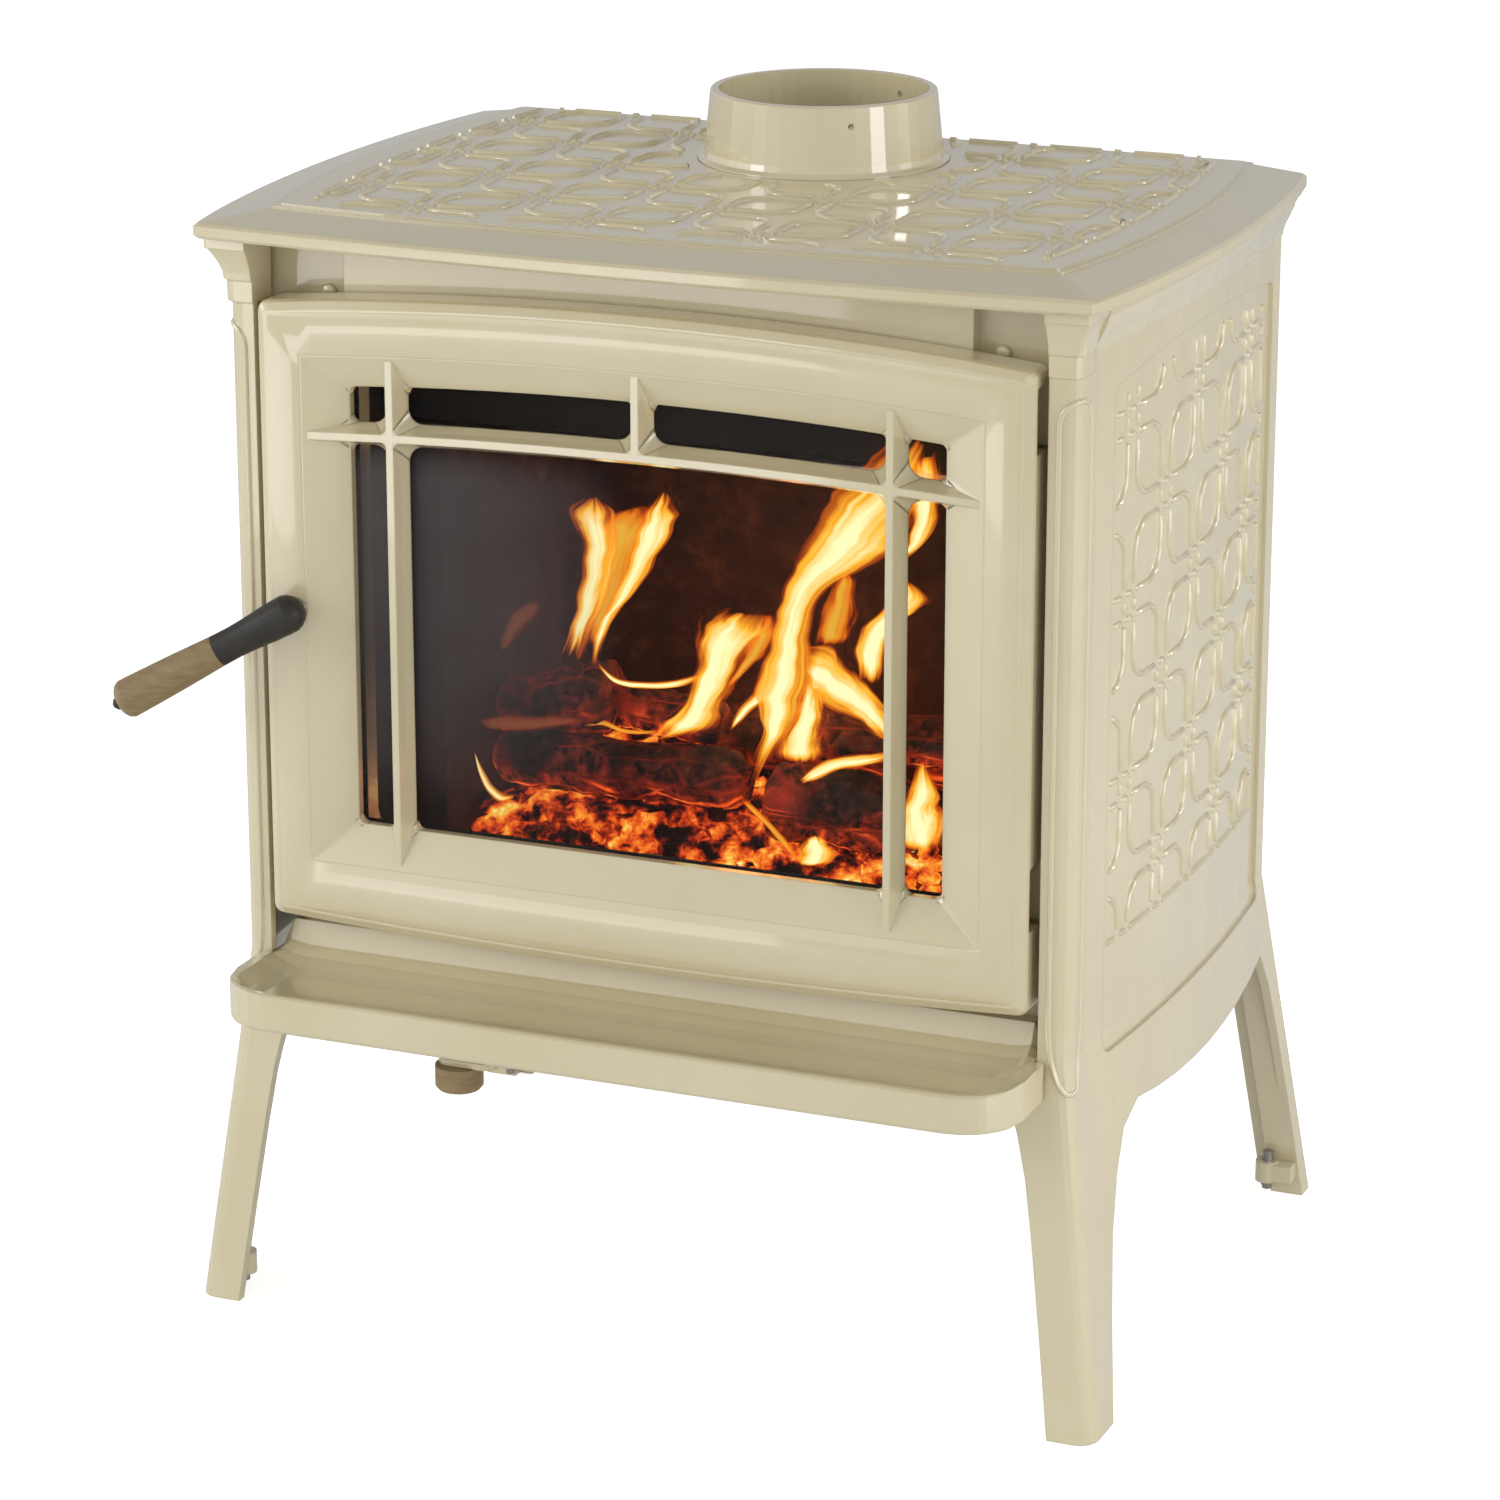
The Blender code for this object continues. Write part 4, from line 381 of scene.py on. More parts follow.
def flame_material(name, strength, cover, core, body, rim):
    """A tongue of flame: streaked along its length, bright at the heart, clear at its rim."""
    m = Nodes(name)
    uv = m.add("UVMap").outputs["UV"]
    split = m.add("SeparateXYZ")
    m.link(uv, split.inputs["Vector"])
    across, along = split.outputs["X"], split.outputs["Y"]
    stretch = m.add("Mapping")
    stretch.inputs["Scale"].default_value = (4.2, 1.3, 1.0)
    m.link(uv, stretch.inputs["Vector"])
    shifted = m.add("VectorMath", operation="ADD")
    m.link(stretch.outputs["Vector"], shifted.inputs[0])
    m.link(m.math("MULTIPLY", m.add("ObjectInfo").outputs["Random"], 40.0), shifted.inputs[1])
    streak = m.noise(1.5, 5.0, 0.55, shifted.outputs["Vector"], 0.7)
    from_rim = m.math("SUBTRACT", 1.0, m.math("ABSOLUTE", m.math("SUBTRACT",
                      m.math("MULTIPLY", across, 2.0), 1.0)))
    from_foot = m.grade(along, 0.0, 1.0, 0.0, 0.14)
    from_tip = m.grade(along, 1.0, 0.0, 0.70, 1.0)
    heart = m.math("MULTIPLY", m.math("MULTIPLY", from_rim, from_foot),
                   m.math("POWER", from_tip, 0.6))
    depth = m.math("ADD", m.math("MULTIPLY", heart, 1.02), m.math("SUBTRACT", streak, 0.5))
    m.feed(m.ramp(depth, (0.18, rim), (0.50, body), (0.92, core)), "Emission Color")
    m.set(Base_Color=(0.0, 0.0, 0.0, 1.0), Emission_Strength=strength, Roughness=1.0,
          Specular_IOR_Level=0.0)
    m.feed(m.math("MULTIPLY", m.grade(depth, 0.0, 1.0, 0.10, 0.52), cover), "Alpha")
    return m.material


enamel = enamel_material()
black = black_material()
grip = grip_material()
steel = steel_material()
soot = soot_material()
brick = brick_material()
board = board_material()
rope = rope_material()
glass = glass_material()
charred = log_material()
ember_hot = ember_material("embers_hot", 0.05)
ember_warm = ember_material("embers_warm", 0.0)
ember_dull = ember_material("embers_dull", -0.10)
flame_hot = flame_material("flame_hot", 1.20, 1.0, (1.0, 0.93, 0.48), (1.0, 0.46, 0.03),
                           (1.0, 0.12, 0.005))
flame_warm = flame_material("flame_warm", 1.05, 0.80, (1.0, 0.52, 0.05), (1.0, 0.24, 0.01),
                            (0.85, 0.07, 0.004))
flame_dull = flame_material("flame_dull", 0.45, 0.60, (1.0, 0.26, 0.08), (0.80, 0.13, 0.04),
                            (0.40, 0.04, 0.01))

finish_of_slot = {
    "cream_enamel": enamel, "ceramic_glass": glass, "bare_steel": steel, "black_steel": black,
    "firebrick": brick, "insulating_board": board, "rope_gasket": rope, "brown_grip": grip,
}
inside_firebox = ("firebox_shell", "log_rest")
for part in frame["record"]["subparts"]:
    node = nodes[part["node"]]
    material = soot if part["node"] in inside_firebox else finish_of_slot[part["material_slot"]]
    for socket in node.material_slots:
        socket.material = material


# Making pieces


def piece(name, points, faces, material, body="stove", smooth=True, uv=None):
    """A mesh piece that rides on a body."""
    mesh = bpy.data.meshes.new(name)
    mesh.from_pydata([tuple(point) for point in points], [], faces)
    mesh.update()
    if uv is not None:
        layer = mesh.uv_layers.new(name="UVMap")
        for loop in mesh.loops:
            layer.data[loop.index].uv = uv[loop.vertex_index]
    item = bpy.data.objects.new(name, mesh)
    bpy.context.scene.collection.objects.link(item)
    item.data.materials.append(material)
    for face in mesh.polygons:
        face.use_smooth = smooth
    if smooth:
        mesh.set_sharp_from_angle(angle=math.radians(50))
    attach(item, body)
    return item


BEAD_SECTION = ((-1.0, -0.12), (-0.72, 0.62), (0.0, 1.0), (0.72, 0.62), (1.0, -0.12))


def bead(points, faces, path, surface, width, height):
    """Sweep a low rounded bead along a path drawn on a surface."""
    start = len(points)
    count = len(BEAD_SECTION)
    last = len(path) - 1
    stations = []
    for index, (u, v) in enumerate(path):
        before, after = path[max(index - 1, 0)], path[min(index + 1, last)]
        direction = Vector((after[0] - before[0], after[1] - before[1])).normalized()
        stations.append((Vector((u, v)), direction, 1.0))
    first, final = stations[0], stations[-1]
    taper = min(width * 0.45, (stations[1][0] - first[0]).length * 0.45)
    stations[0] = (first[0] + first[1] * taper, first[1], 1.0)
    stations[-1] = (final[0] - final[1] * taper, final[1], 1.0)
    stations.insert(0, (first[0], first[1], 0.0))
    stations.append((final[0], final[1], 0.0))
    for spot, direction, full in stations:
        side = Vector((-direction.y, direction.x))
        for across, rise in BEAD_SECTION:
            offset = across * width / 2 * (0.62 + 0.38 * full)
            level = rise * height if full else -0.12 * height
            at = spot + side * offset
            points.append(surface(at.x, at.y, level))
    for station in range(len(stations) - 1):
        for step in range(count - 1):
            a = start + station * count + step
            faces.append((a, a + 1, a + 1 + count, a + count))


def ring_pieces(centre, half, corner, inset, gap):
    """The four corners and four short dashes of one rounded square."""
    straight = half - corner
    bend = [(straight + corner * math.cos(math.radians(angle)),
             straight + corner * math.sin(math.radians(angle))) for angle in range(0, 91, 10)]
    corner_path = [(half, inset + gap)] + bend + [(inset + gap, half)]
    dash = [(half, -(inset - gap)), (half, inset - gap)]
    pieces = []
    for turn in range(4):
        cos, sin = ((1, 0), (0, 1), (-1, 0), (0, -1))[turn]
        for path in (corner_path, dash):
            pieces.append([(centre[0] + x * cos - y * sin, centre[1] + x * sin + y * cos)
                           for x, y in path])
    return pieces


def clipped(path, inside):
    """The stretches of a path that lie inside a region."""
    step = 0.0010
    shortest = 0.0025
    fine = []
    for (x0, y0), (x1, y1) in zip(path, path[1:]):
        count = max(1, int(math.hypot(x1 - x0, y1 - y0) / step))
        fine += [(x0 + (x1 - x0) * i / count, y0 + (y1 - y0) * i / count, i == 0)
                 for i in range(count)]
    fine.append((*path[-1], True))
    runs, run = [], []
    for x, y, corner in fine:
        if inside(x, y):
            run.append((x, y, corner))
        elif run:
            runs.append(run)
            run = []
    if run:
        runs.append(run)
    kept = []
    for run in runs:
        points = [(x, y) for index, (x, y, corner) in enumerate(run)
                  if corner or index in (0, len(run) - 1)]
        if len(run) * step > shortest:
            kept.append(points)
    return kept


def fretwork(name, columns, rows, start, pitch, inside, surface, borders=(),
             inset=RING_INSET):
    """Rounded squares on every other lattice point, and border beads, as one relief."""
    points, faces = [], []
    half = pitch - inset
    lines = []
    for column in columns:
        for row in rows:
            if (column + row) % 2 == 0:
                centre = (start[0] + column * pitch, start[1] + row * pitch)
                lines += ring_pieces(centre, half, RING_CORNER, inset, CROSSING_GAP)
    for line in lines:
        for run in clipped(line, inside):
            bead(points, faces, run, surface, BEAD_WIDTH, BEAD_HEIGHT)
    for border in borders:
        bead(points, faces, border, surface, BEAD_WIDTH, BEAD_HEIGHT)
    piece(name, points, faces, enamel, "stove")


# Fretwork on the top plate

FIELD_HALF = 0.2530
FIELD_BOW = 0.0150
FIELD_FRONT = 0.0520
FIELD_REAR = 0.4160
REAR_BORDER_HALF = 236
BORDER_MARGIN = 0.0040
EDGE_MARGIN = 0.0030


def top_edge(y):
    """How far the pattern reaches sideways at y; the plate's sides are bowed."""
    middle = (FIELD_FRONT + FIELD_REAR) / 2
    share = (y - middle) / ((FIELD_REAR - FIELD_FRONT) / 2)
    return FIELD_HALF + FIELD_BOW * (1 - share * share) - FIELD_BOW * 0.5


def on_top_field(x, y):
    if not FIELD_FRONT < y < FIELD_REAR - BORDER_MARGIN:
        return False
    if abs(x) > top_edge(y) - EDGE_MARGIN:
        return False
    return math.hypot(x, y - FLUE_Y) > FLUE_CLEAR


def top_surface(x, y, level):
    return place(x, y, PLATE_TOP + level)


def border_runs(path, stops, gap):
    """A border line broken where the pattern's lines meet it."""
    runs, run = [], []
    for point in path:
        if min((abs(point[0] - s[0]) + abs(point[1] - s[1]) for s in stops), default=1) < gap:
            if len(run) > 2:
                runs.append(run)
            run = []
        else:
            run.append(point)
    if len(run) > 2:
        runs.append(run)
    return runs


columns = range(-5, 6)
rear_line = [(x / 1000, FIELD_REAR) for x in range(-REAR_BORDER_HALF, REAR_BORDER_HALF + 1, 2)]
column_stops = [(column * TOP_PITCH + side * RING_INSET, FIELD_REAR)
                for column in columns for side in (-1, 1)]
rear_runs = [run for run in border_runs(rear_line, column_stops, BORDER_GAP)
             if all(math.hypot(x, y - FLUE_Y) > FLUE_CLEAR - BORDER_MARGIN for x, y in run)]
side_runs = []
row_stops = [TOP_ROW_START + row * TOP_PITCH + side * RING_INSET
             for row in range(7) for side in (-1, 1)]
for side in (-1, 1):
    path = [(side * top_edge(y / 1000), y / 1000)
            for y in range(int(FIELD_FRONT * 1000) + 16, int(FIELD_REAR * 1000) - 4, 2)]
    stops = [(side * top_edge(y), y) for y in row_stops]
    side_runs += border_runs(path, stops, BOWED_BORDER_GAP)
fretwork("top_fretwork", columns, range(-1, 7), (0.0, TOP_ROW_START), TOP_PITCH,
         on_top_field, top_surface, rear_runs + side_runs)


# Fretwork and mouldings on the side castings

SIDE_FRONT = 0.0860
SIDE_REAR = 0.3860
SIDE_BOTTOM = 0.3040
SIDE_TOP = 0.6570
SIDE_CROWN = 0.0120


def bow_at(y):
    """How far the side panel bulges outwards; the panel's faces are flat between its steps."""
    if not BOW_FRONT < y < BOW_REAR:
        return 0.0
    position = (y - BOW_FRONT) / (BOW_REAR - BOW_FRONT) * 8
    low = math.floor(position)

    def bulge(step):
        share = step / 4 - 1
        return SIDE_BOW * (1 - share * share)

    return bulge(low) + (bulge(low + 1) - bulge(low)) * (position - low)


def on_side_field(y, z):
    share = (y - (SIDE_FRONT + SIDE_REAR) / 2) / ((SIDE_REAR - SIDE_FRONT) / 2)
    top = SIDE_TOP + SIDE_CROWN * (1 - share * share)
    return SIDE_FRONT < y < SIDE_REAR - BORDER_MARGIN and SIDE_BOTTOM + BORDER_MARGIN < z < top


def spread(low, high, step):
    """Evenly spaced numbers from low to high."""
    count = int(round((high - low) / step))
    return [low + (high - low) * index / count for index in range(count + 1)]


rear_path = [(SIDE_REAR, z) for z in spread(SIDE_BOTTOM, SIDE_TOP, 0.0020)]
rear_stops = [(SIDE_REAR, SIDE_ROW_START + row * SIDE_PITCH + offset * SIDE_INSET)
              for row in range(-4, 4) for offset in (-1, 1)]
foot_path = [(y, SIDE_BOTTOM) for y in spread(SIDE_FRONT, SIDE_REAR, 0.0020)]
foot_stops = [(SIDE_COLUMN_START + column * SIDE_PITCH + offset * SIDE_INSET, SIDE_BOTTOM)
              for column in range(-2, 6) for offset in (-1, 1)]
for side, label in ((-1, "left"), (1, "right")):
    def side_surface(y, z, level, side=side):
        return place(side * (BODY_HALF - PANEL_SINK + bow_at(y) + level), y, z)

    fretwork("side_fretwork_" + label, range(-3, 6), range(-5, 5),
             (SIDE_COLUMN_START, SIDE_ROW_START), SIDE_PITCH, on_side_field, side_surface,
             border_runs(rear_path, rear_stops, BORDER_GAP)
             + border_runs(foot_path, foot_stops, BORDER_GAP), SIDE_INSET)


# Pointed bead panels that wrap the corners of the front posts

POST_CORNER = 0.0120
PANEL_FRONT_REACH = 0.0130
PANEL_SIDE_REACH = 0.0220
PANEL_TOP = 0.6700
PANEL_TIP = 0.2240
PANEL_FOOT = 0.0500
POST_BEAD = 0.0040
POST_BEAD_HEIGHT = 0.0017
LEG_SPRING = 0.2450
LEG_OUT = 0.125
LEG_BACK = 0.155
LEG_FORWARD = 0.105
BODY_DEPTH = 0.41


def post_surface(side):
    """Maps the distance round the corner, and the height, onto the post."""
    arc_length = POST_CORNER * math.pi / 2
    turn = Vector((BODY_HALF - POST_CORNER, BODY_FRONT + POST_CORNER))

    def surface(along, z, level):
        if along < 0:
            x, y = turn.x + along, BODY_FRONT - level
        elif along < arc_length:
            angle = along / POST_CORNER - math.pi / 2
            reach = POST_CORNER + level
            x, y = turn.x + reach * math.cos(angle), turn.y + reach * math.sin(angle)
        else:
            x, y = BODY_HALF + level, turn.y + along - arc_length
        drop = max(0.0, LEG_SPRING - z)
        share = (y - BODY_FRONT) / BODY_DEPTH
        slope = LEG_BACK * share - LEG_FORWARD * (1 - share)
        return place(side * (x + LEG_OUT * drop), y + drop * slope, z)

    return surface


def post_outline():
    """A slim panel with a round head and a pointed foot, as distance round the corner and z."""
    arc_length = POST_CORNER * math.pi / 2
    left, right = -(PANEL_FRONT_REACH - POST_CORNER), arc_length + PANEL_SIDE_REACH - POST_CORNER
    middle, half = (left + right) / 2, (right - left) / 2
    head = [(middle - half * math.cos(math.radians(angle)),
             PANEL_TOP - half + half * math.sin(math.radians(angle)))
            for angle in range(0, 181, 12)]
    foot_right = []
    for step in range(9):
        angle = step * math.pi / 16
        reach = half * math.cos(angle) ** 0.8 if step < 8 else 0.0
        foot_right.append((middle + reach, PANEL_TIP + PANEL_FOOT * (1 - math.sin(angle))))
    foot_left = [(2 * middle - u, z) for u, z in reversed(foot_right[:-1])]
    path = head + foot_right + foot_left
    return path + [path[0], path[1]]


for side, label in ((-1, "left"), (1, "right")):
    points, faces = [], []
    bead(points, faces, post_outline(), post_surface(side), POST_BEAD, POST_BEAD_HEIGHT)
    piece("post_bead_" + label, points, faces, enamel, "stove")


# Door: a shallow raised face, and fillets where the bars cross and meet the frame

DOOR_HALF = 0.2639
DOOR_BOTTOM = 0.2755
DOOR_TOP = 0.6889
DOOR_CROWN = 0.0125
DOOR_BELLY = 0.0065
DOOR_FACE = 0.0085
PANEL_HALF = 0.2320
PANEL_BOTTOM = 0.3175
PANEL_CREST = 0.6554
PANEL_CROWN = 0.0090
WINDOW_HALF = 0.2035
WINDOW_BOTTOM = 0.3425
WINDOW_TOP = 0.6359
WINDOW_CROWN = 0.0075
WINDOW_DEPTH = 0.0210
SIDE_BAR_X = 0.1704
CROSS_BAR_Z = 0.6034
CROSS_BAR_RISE = 0.0070
CROSS_BAR_HALF = PANEL_HALF - 0.0030
BAR_SECTION = ((0.0098, 0.0025), (0.0159, 0.00425), (0.0235, 0.0075))
HEAD_RISE = PANEL_CROWN - WINDOW_CROWN
FACE_RISE = 0.0005
FACE_SINK = 0.0003


def door_loop(half, bottom, top, crown, belly, y):
    """Once round the door at one depth, 24 points a side."""
    shares = [index / 12 - 1 for index in range(24)]
    loop = [(half * u, bottom - belly * (1 - u * u)) for u in shares]
    loop += [(half, bottom + (top - bottom) * (u + 1) / 2) for u in shares]
    loop += [(-half * u, top + crown * (1 - u * u)) for u in shares]
    loop += [(-half, top + (bottom - top) * (u + 1) / 2) for u in shares]
    return [place(x, y, z) for x, z in loop]


def door_face():
    buried = DOOR_FACE + FACE_SINK
    raised = DOOR_FACE - FACE_RISE
    loops = [
        door_loop(DOOR_HALF - 0.0062, DOOR_BOTTOM + 0.0062, DOOR_TOP - 0.0062, DOOR_CROWN,
                  DOOR_BELLY, buried),
        door_loop(DOOR_HALF - 0.0120, DOOR_BOTTOM + 0.0105, DOOR_TOP - 0.0090, DOOR_CROWN,
                  DOOR_BELLY, raised),
        door_loop(PANEL_HALF + 0.0018, PANEL_BOTTOM - 0.0015, PANEL_CREST + 0.0012,
                  PANEL_CROWN, 0.0, raised),
        door_loop(PANEL_HALF, PANEL_BOTTOM, PANEL_CREST, PANEL_CROWN, 0.0, buried),
    ]
    count = len(loops[0])
    points = [point for loop in loops for point in loop]
    faces = []
    for ring in range(4):
        low, high = ring * count, (ring + 1) % 4 * count
        for step in range(count):
            after = (step + 1) % count
            faces.append((low + step, low + after, high + after, high + step))
    piece("door_face", points, faces, enamel, "door")


def bar_half(y):
    """Half the width of a bar at a depth."""
    for (y0, half0), (y1, half1) in zip(BAR_SECTION, BAR_SECTION[1:]):
        if y <= y1:
            return half0 + (half1 - half0) * max(0.0, y - y0) / (y1 - y0)
    return BAR_SECTION[-1][1]


def bevel_share(y):
    """How far up the sunk bevel a depth lies: 0 at the window, 1 at the door's face."""
    return max(0.0, WINDOW_DEPTH - y) / (WINDOW_DEPTH - DOOR_FACE)


def bar_wall(middle, side):
    """The wall of an upright bar, as x at a depth. The other walls work the same way."""
    return lambda y: middle + side * bar_half(y)


def frame_wall(side):
    return lambda y: side * (WINDOW_HALF + (PANEL_HALF - WINDOW_HALF) * bevel_share(y))


def cross_wall(side):
    return lambda x, y: (CROSS_BAR_Z + CROSS_BAR_RISE * (1 - (x / CROSS_BAR_HALF) ** 2)
                         + side * bar_half(y))


def sill_wall(x, y):
    return WINDOW_BOTTOM + (PANEL_BOTTOM - WINDOW_BOTTOM) * bevel_share(y)


def head_wall(x, y):
    low = WINDOW_TOP + WINDOW_CROWN * (1 - (x / WINDOW_HALF) ** 2)
    return low + (PANEL_CREST + HEAD_RISE - WINDOW_TOP) * bevel_share(y)


def fillet(points, faces, wall_x, wall_z, side_x, side_z, radii):
    """Fill the corner between two walls. The sides point into the pane."""
    steps = 8
    buried = 0.0010
    rings = []
    for y, radius in radii:
        x = wall_x(y)
        ring = [place(x - side_x * buried, y, wall_z(x, y) - side_z * buried)]
        for step in range(steps + 1):
            angle = math.pi / 2 * step / steps
            at = x + side_x * radius * (1 - math.cos(angle))
            ring.append(place(at, y, wall_z(at, y) + side_z * radius * (1 - math.sin(angle))))
        rings.append(ring)
    start, count = len(points), steps + 2
    points.extend(point for ring in rings for point in ring)
    for ring in range(len(rings) - 1):
        for step in range(count):
            after = (step + 1) % count
            a, b = start + ring * count, start + (ring + 1) * count
            faces.append((a + step, a + after, b + after, b + step))
    faces.append(tuple(range(start, start + count)))
    faces.append(tuple(range(start + (len(rings) - 1) * count, start + len(rings) * count)))


CROSSING_RADII = ((0.0235, 0.0100), (0.0197, 0.0082), (0.0159, 0.0066), (0.0128, 0.0054),
                  (0.00985, 0.0044))
MEETING_RADII = ((0.0266, 0.0052), (0.0225, 0.0052), (0.0205, 0.0036), (0.0190, 0.0016),
                 (0.0182, 0.0003))
FRAME_RADII = ((0.0266, 0.0064), (0.0225, 0.0064), (0.0205, 0.0048), (0.0188, 0.0022),
               (0.0176, 0.0004))


def pane_fillets():
    points, faces = [], []
    for x in (-SIDE_BAR_X, SIDE_BAR_X):
        for side_x in (-1, 1):
            for side_z in (-1, 1):
                fillet(points, faces, bar_wall(x, side_x), cross_wall(side_z), side_x, side_z,
                       CROSSING_RADII)
            fillet(points, faces, bar_wall(x, side_x), head_wall, side_x, -1, MEETING_RADII)
            fillet(points, faces, bar_wall(x, side_x), sill_wall, side_x, 1, MEETING_RADII)
    for side_x in (-1, 1):
        fillet(points, faces, bar_wall(0.0, side_x), cross_wall(1), side_x, 1, CROSSING_RADII)
        fillet(points, faces, bar_wall(0.0, side_x), head_wall, side_x, -1, MEETING_RADII)
        for side_z in (-1, 1):
            fillet(points, faces, frame_wall(side_x), cross_wall(side_z), -side_x, side_z,
                   MEETING_RADII)
        fillet(points, faces, frame_wall(side_x), head_wall, -side_x, -1, FRAME_RADII)
        fillet(points, faces, frame_wall(side_x), sill_wall, -side_x, 1, FRAME_RADII)
    item = piece("pane_fillets", points, faces, enamel, "door")
    shape = bmesh.new()
    shape.from_mesh(item.data)
    bmesh.ops.recalc_face_normals(shape, faces=shape.faces)
    shape.to_mesh(item.data)
    shape.free()


door_face()
pane_fillets()


# Fire

random.seed(7)


def lump(points, faces, centre, size, seed):
    """One rough piece of charcoal."""
    shape = bmesh.new()
    bmesh.ops.create_icosphere(shape, subdivisions=2, radius=1.0)
    start = len(points)
    turn = Vector((seed * 1.7, seed * 0.9, seed * 2.3))
    for corner in shape.verts:
        direction = corner.co.normalized()
        reach = 1.0 + 0.55 * noise.noise(direction * 1.6 + turn)
        reach += 0.20 * noise.noise(direction * 4.5 + turn)
        points.append(centre + Vector((direction.x * size[0], direction.y * size[1],
                                       direction.z * size[2])) * reach)
    for face in shape.faces:
        faces.append(tuple(start + corner.index for corner in face.verts))
    shape.free()


def lumps(name, material, count, spot, size):
    points, faces = [], []
    for index in range(count):
        centre = place(*spot(index))
        scale = size * random.uniform(0.65, 1.35)
        lump(points, faces, centre,
             (scale, scale * random.uniform(0.7, 1.1), scale * random.uniform(0.55, 0.9)),
             random.uniform(0, 100))
    piece(name, points, faces, material, "stove", smooth=False)


def log(name, start, end, radius, seed):
    """A charred log: a rough round with deep scales and broken ends."""
    start, end = place(*start), place(*end)
    axis = (end - start).normalized()
    side = axis.cross(Vector((0, 0, 1))).normalized()
    up = side.cross(axis)
    rings, around = 40, 28
    points, faces, uv = [], [], []
    for ring in range(rings + 1):
        share = ring / rings
        taper = min(1.0, 8 * share + 0.55, 8 * (1 - share) + 0.55)
        for step in range(around):
            angle = 2 * math.pi * step / around
            direction = side * math.cos(angle) + up * math.sin(angle)
            at = Vector((math.cos(angle) * 1.3, math.sin(angle) * 1.3, share * 5 + seed))
            rough = 1 + 0.16 * noise.noise(at * 1.2) + 0.10 * noise.noise(at * 4.0)
            rough -= 0.10 * abs(noise.noise(at * 2.6))
            points.append(start.lerp(end, share) + direction * radius * rough * taper)
            uv.append((step / around, share * (end - start).length * 6))
    for ring in range(rings):
        for step in range(around):
            a = ring * around + step
            b = ring * around + (step + 1) % around
            faces.append((a, b, b + around, a + around))
    for ring, turn in ((0, -1), (rings, 1)):
        points.append(start.lerp(end, ring / rings) - axis * turn * radius * 0.15)
        uv.append((0.5, 0.5))
        hub = len(points) - 1
        for step in range(around):
            a = ring * around + step
            b = ring * around + (step + 1) % around
            faces.append((b, a, hub) if turn < 0 else (a, b, hub))
    piece(name, points, faces, charred, "stove", uv=uv)


def curve_through(stations, position):
    """A point on the smooth curve that runs through equal steps of the stations."""
    last = len(stations) - 1
    low = min(int(position), last - 1)
    t = position - low
    a, b, c, d = (Vector(stations[min(max(index, 0), last)]) for index in range(low - 1, low + 3))
    return 0.5 * ((2 * b) + (c - a) * t + (2 * a - 5 * b + 4 * c - d) * t * t
                  + (3 * b - a - 3 * c + d) * t ** 3)


def tongue(name, material, stations, seed):
    """A sheet of flame between two edges. A station is y, then x and z of each edge, in mm."""
    rows_each = 12
    along, across = rows_each * (len(stations) - 1), 14
    left = [(x / 1000, y / 1000, z / 1000) for y, x, z, _, _ in stations]
    right = [(x / 1000, y / 1000, z / 1000) for y, _, _, x, z in stations]
    points, faces, uv = [], [], []
    for row in range(along + 1):
        position = row / rows_each
        first, second = curve_through(left, position), curve_through(right, position)
        spare = (second - first) * 0.18
        first, second = first - spare, second + spare
        width = (second - first).length
        for step in range(across + 1):
            share = step / across
            spot = first.lerp(second, share)
            wave = noise.noise(Vector((share * 1.8, row * 0.10, seed)))
            spot.y -= 0.20 * width * 4 * share * (1 - share) + 0.15 * width * wave
            spot.x += 0.06 * width * noise.noise(Vector((row * 0.13, share, seed + 5)))
            points.append(place(*spot))
            uv.append((share, row / along))
    for row in range(along):
        for step in range(across):
            a = row * (across + 1) + step
            faces.append((a, a + 1, a + across + 2, a + across + 1))
    piece(name, points, faces, material, "stove", uv=uv)


def bed_height(x, y):
    """The top of the bed of embers: low at the glass, heaped in the middle."""
    back = min(max((y - 0.122) / 0.060, 0.0), 1.0)
    heap = 0.278 + 0.046 * math.sin(back * math.pi / 2) - 0.010 * (x / 0.18) ** 2
    return heap + 0.008 * noise.noise(Vector((x * 22, y * 22, 3.0)))


def ember_bed():
    columns, rows = 56, 36
    points, faces = [], []
    for row in range(rows + 1):
        for column in range(columns + 1):
            x = -0.182 + 0.364 * column / columns
            y = 0.124 + 0.236 * row / rows
            edge = column in (0, columns) or row in (0, rows)
            rough = 0.004 * noise.noise(Vector((x * 90, y * 90, 1.0)))
            points.append(place(x, y, 0.2615 if edge else bed_height(x, y) + rough))
    for row in range(rows):
        for column in range(columns):
            a = row * (columns + 1) + column
            faces.append((a, a + 1, a + columns + 2, a + columns + 1))
    piece("ember_bed", points, faces, ember_dull, "stove")


def spots(x_low, x_high, y_low, y_high, lift):
    """A chooser of random places on the bed."""
    def choose(index):
        x, y = random.uniform(x_low, x_high), random.uniform(y_low, y_high)
        return x, y, bed_height(x, y) + random.uniform(-0.001, lift)
    return choose


ember_bed()
lumps("embers_left", ember_warm, 60, spots(-0.172, -0.030, 0.132, 0.180, 0.006), 0.0135)
lumps("embers_middle", ember_hot, 64, spots(-0.060, 0.050, 0.136, 0.180, 0.008), 0.0115)
lumps("embers_right", ember_hot, 40, spots(0.105, 0.172, 0.128, 0.170, 0.012), 0.0100)
lumps("embers_front", ember_dull, 90, spots(-0.172, 0.172, 0.128, 0.142, 0.003), 0.0080)
lumps("embers_back", ember_dull, 70, spots(-0.168, 0.168, 0.180, 0.300, 0.010), 0.0120)
log("log_upper", (-0.176, 0.196, 0.372), (-0.092, 0.186, 0.398), 0.0240, 11.7)
log("log_upper_right", (-0.100, 0.196, 0.388), (-0.014, 0.190, 0.384), 0.0165, 47.5)
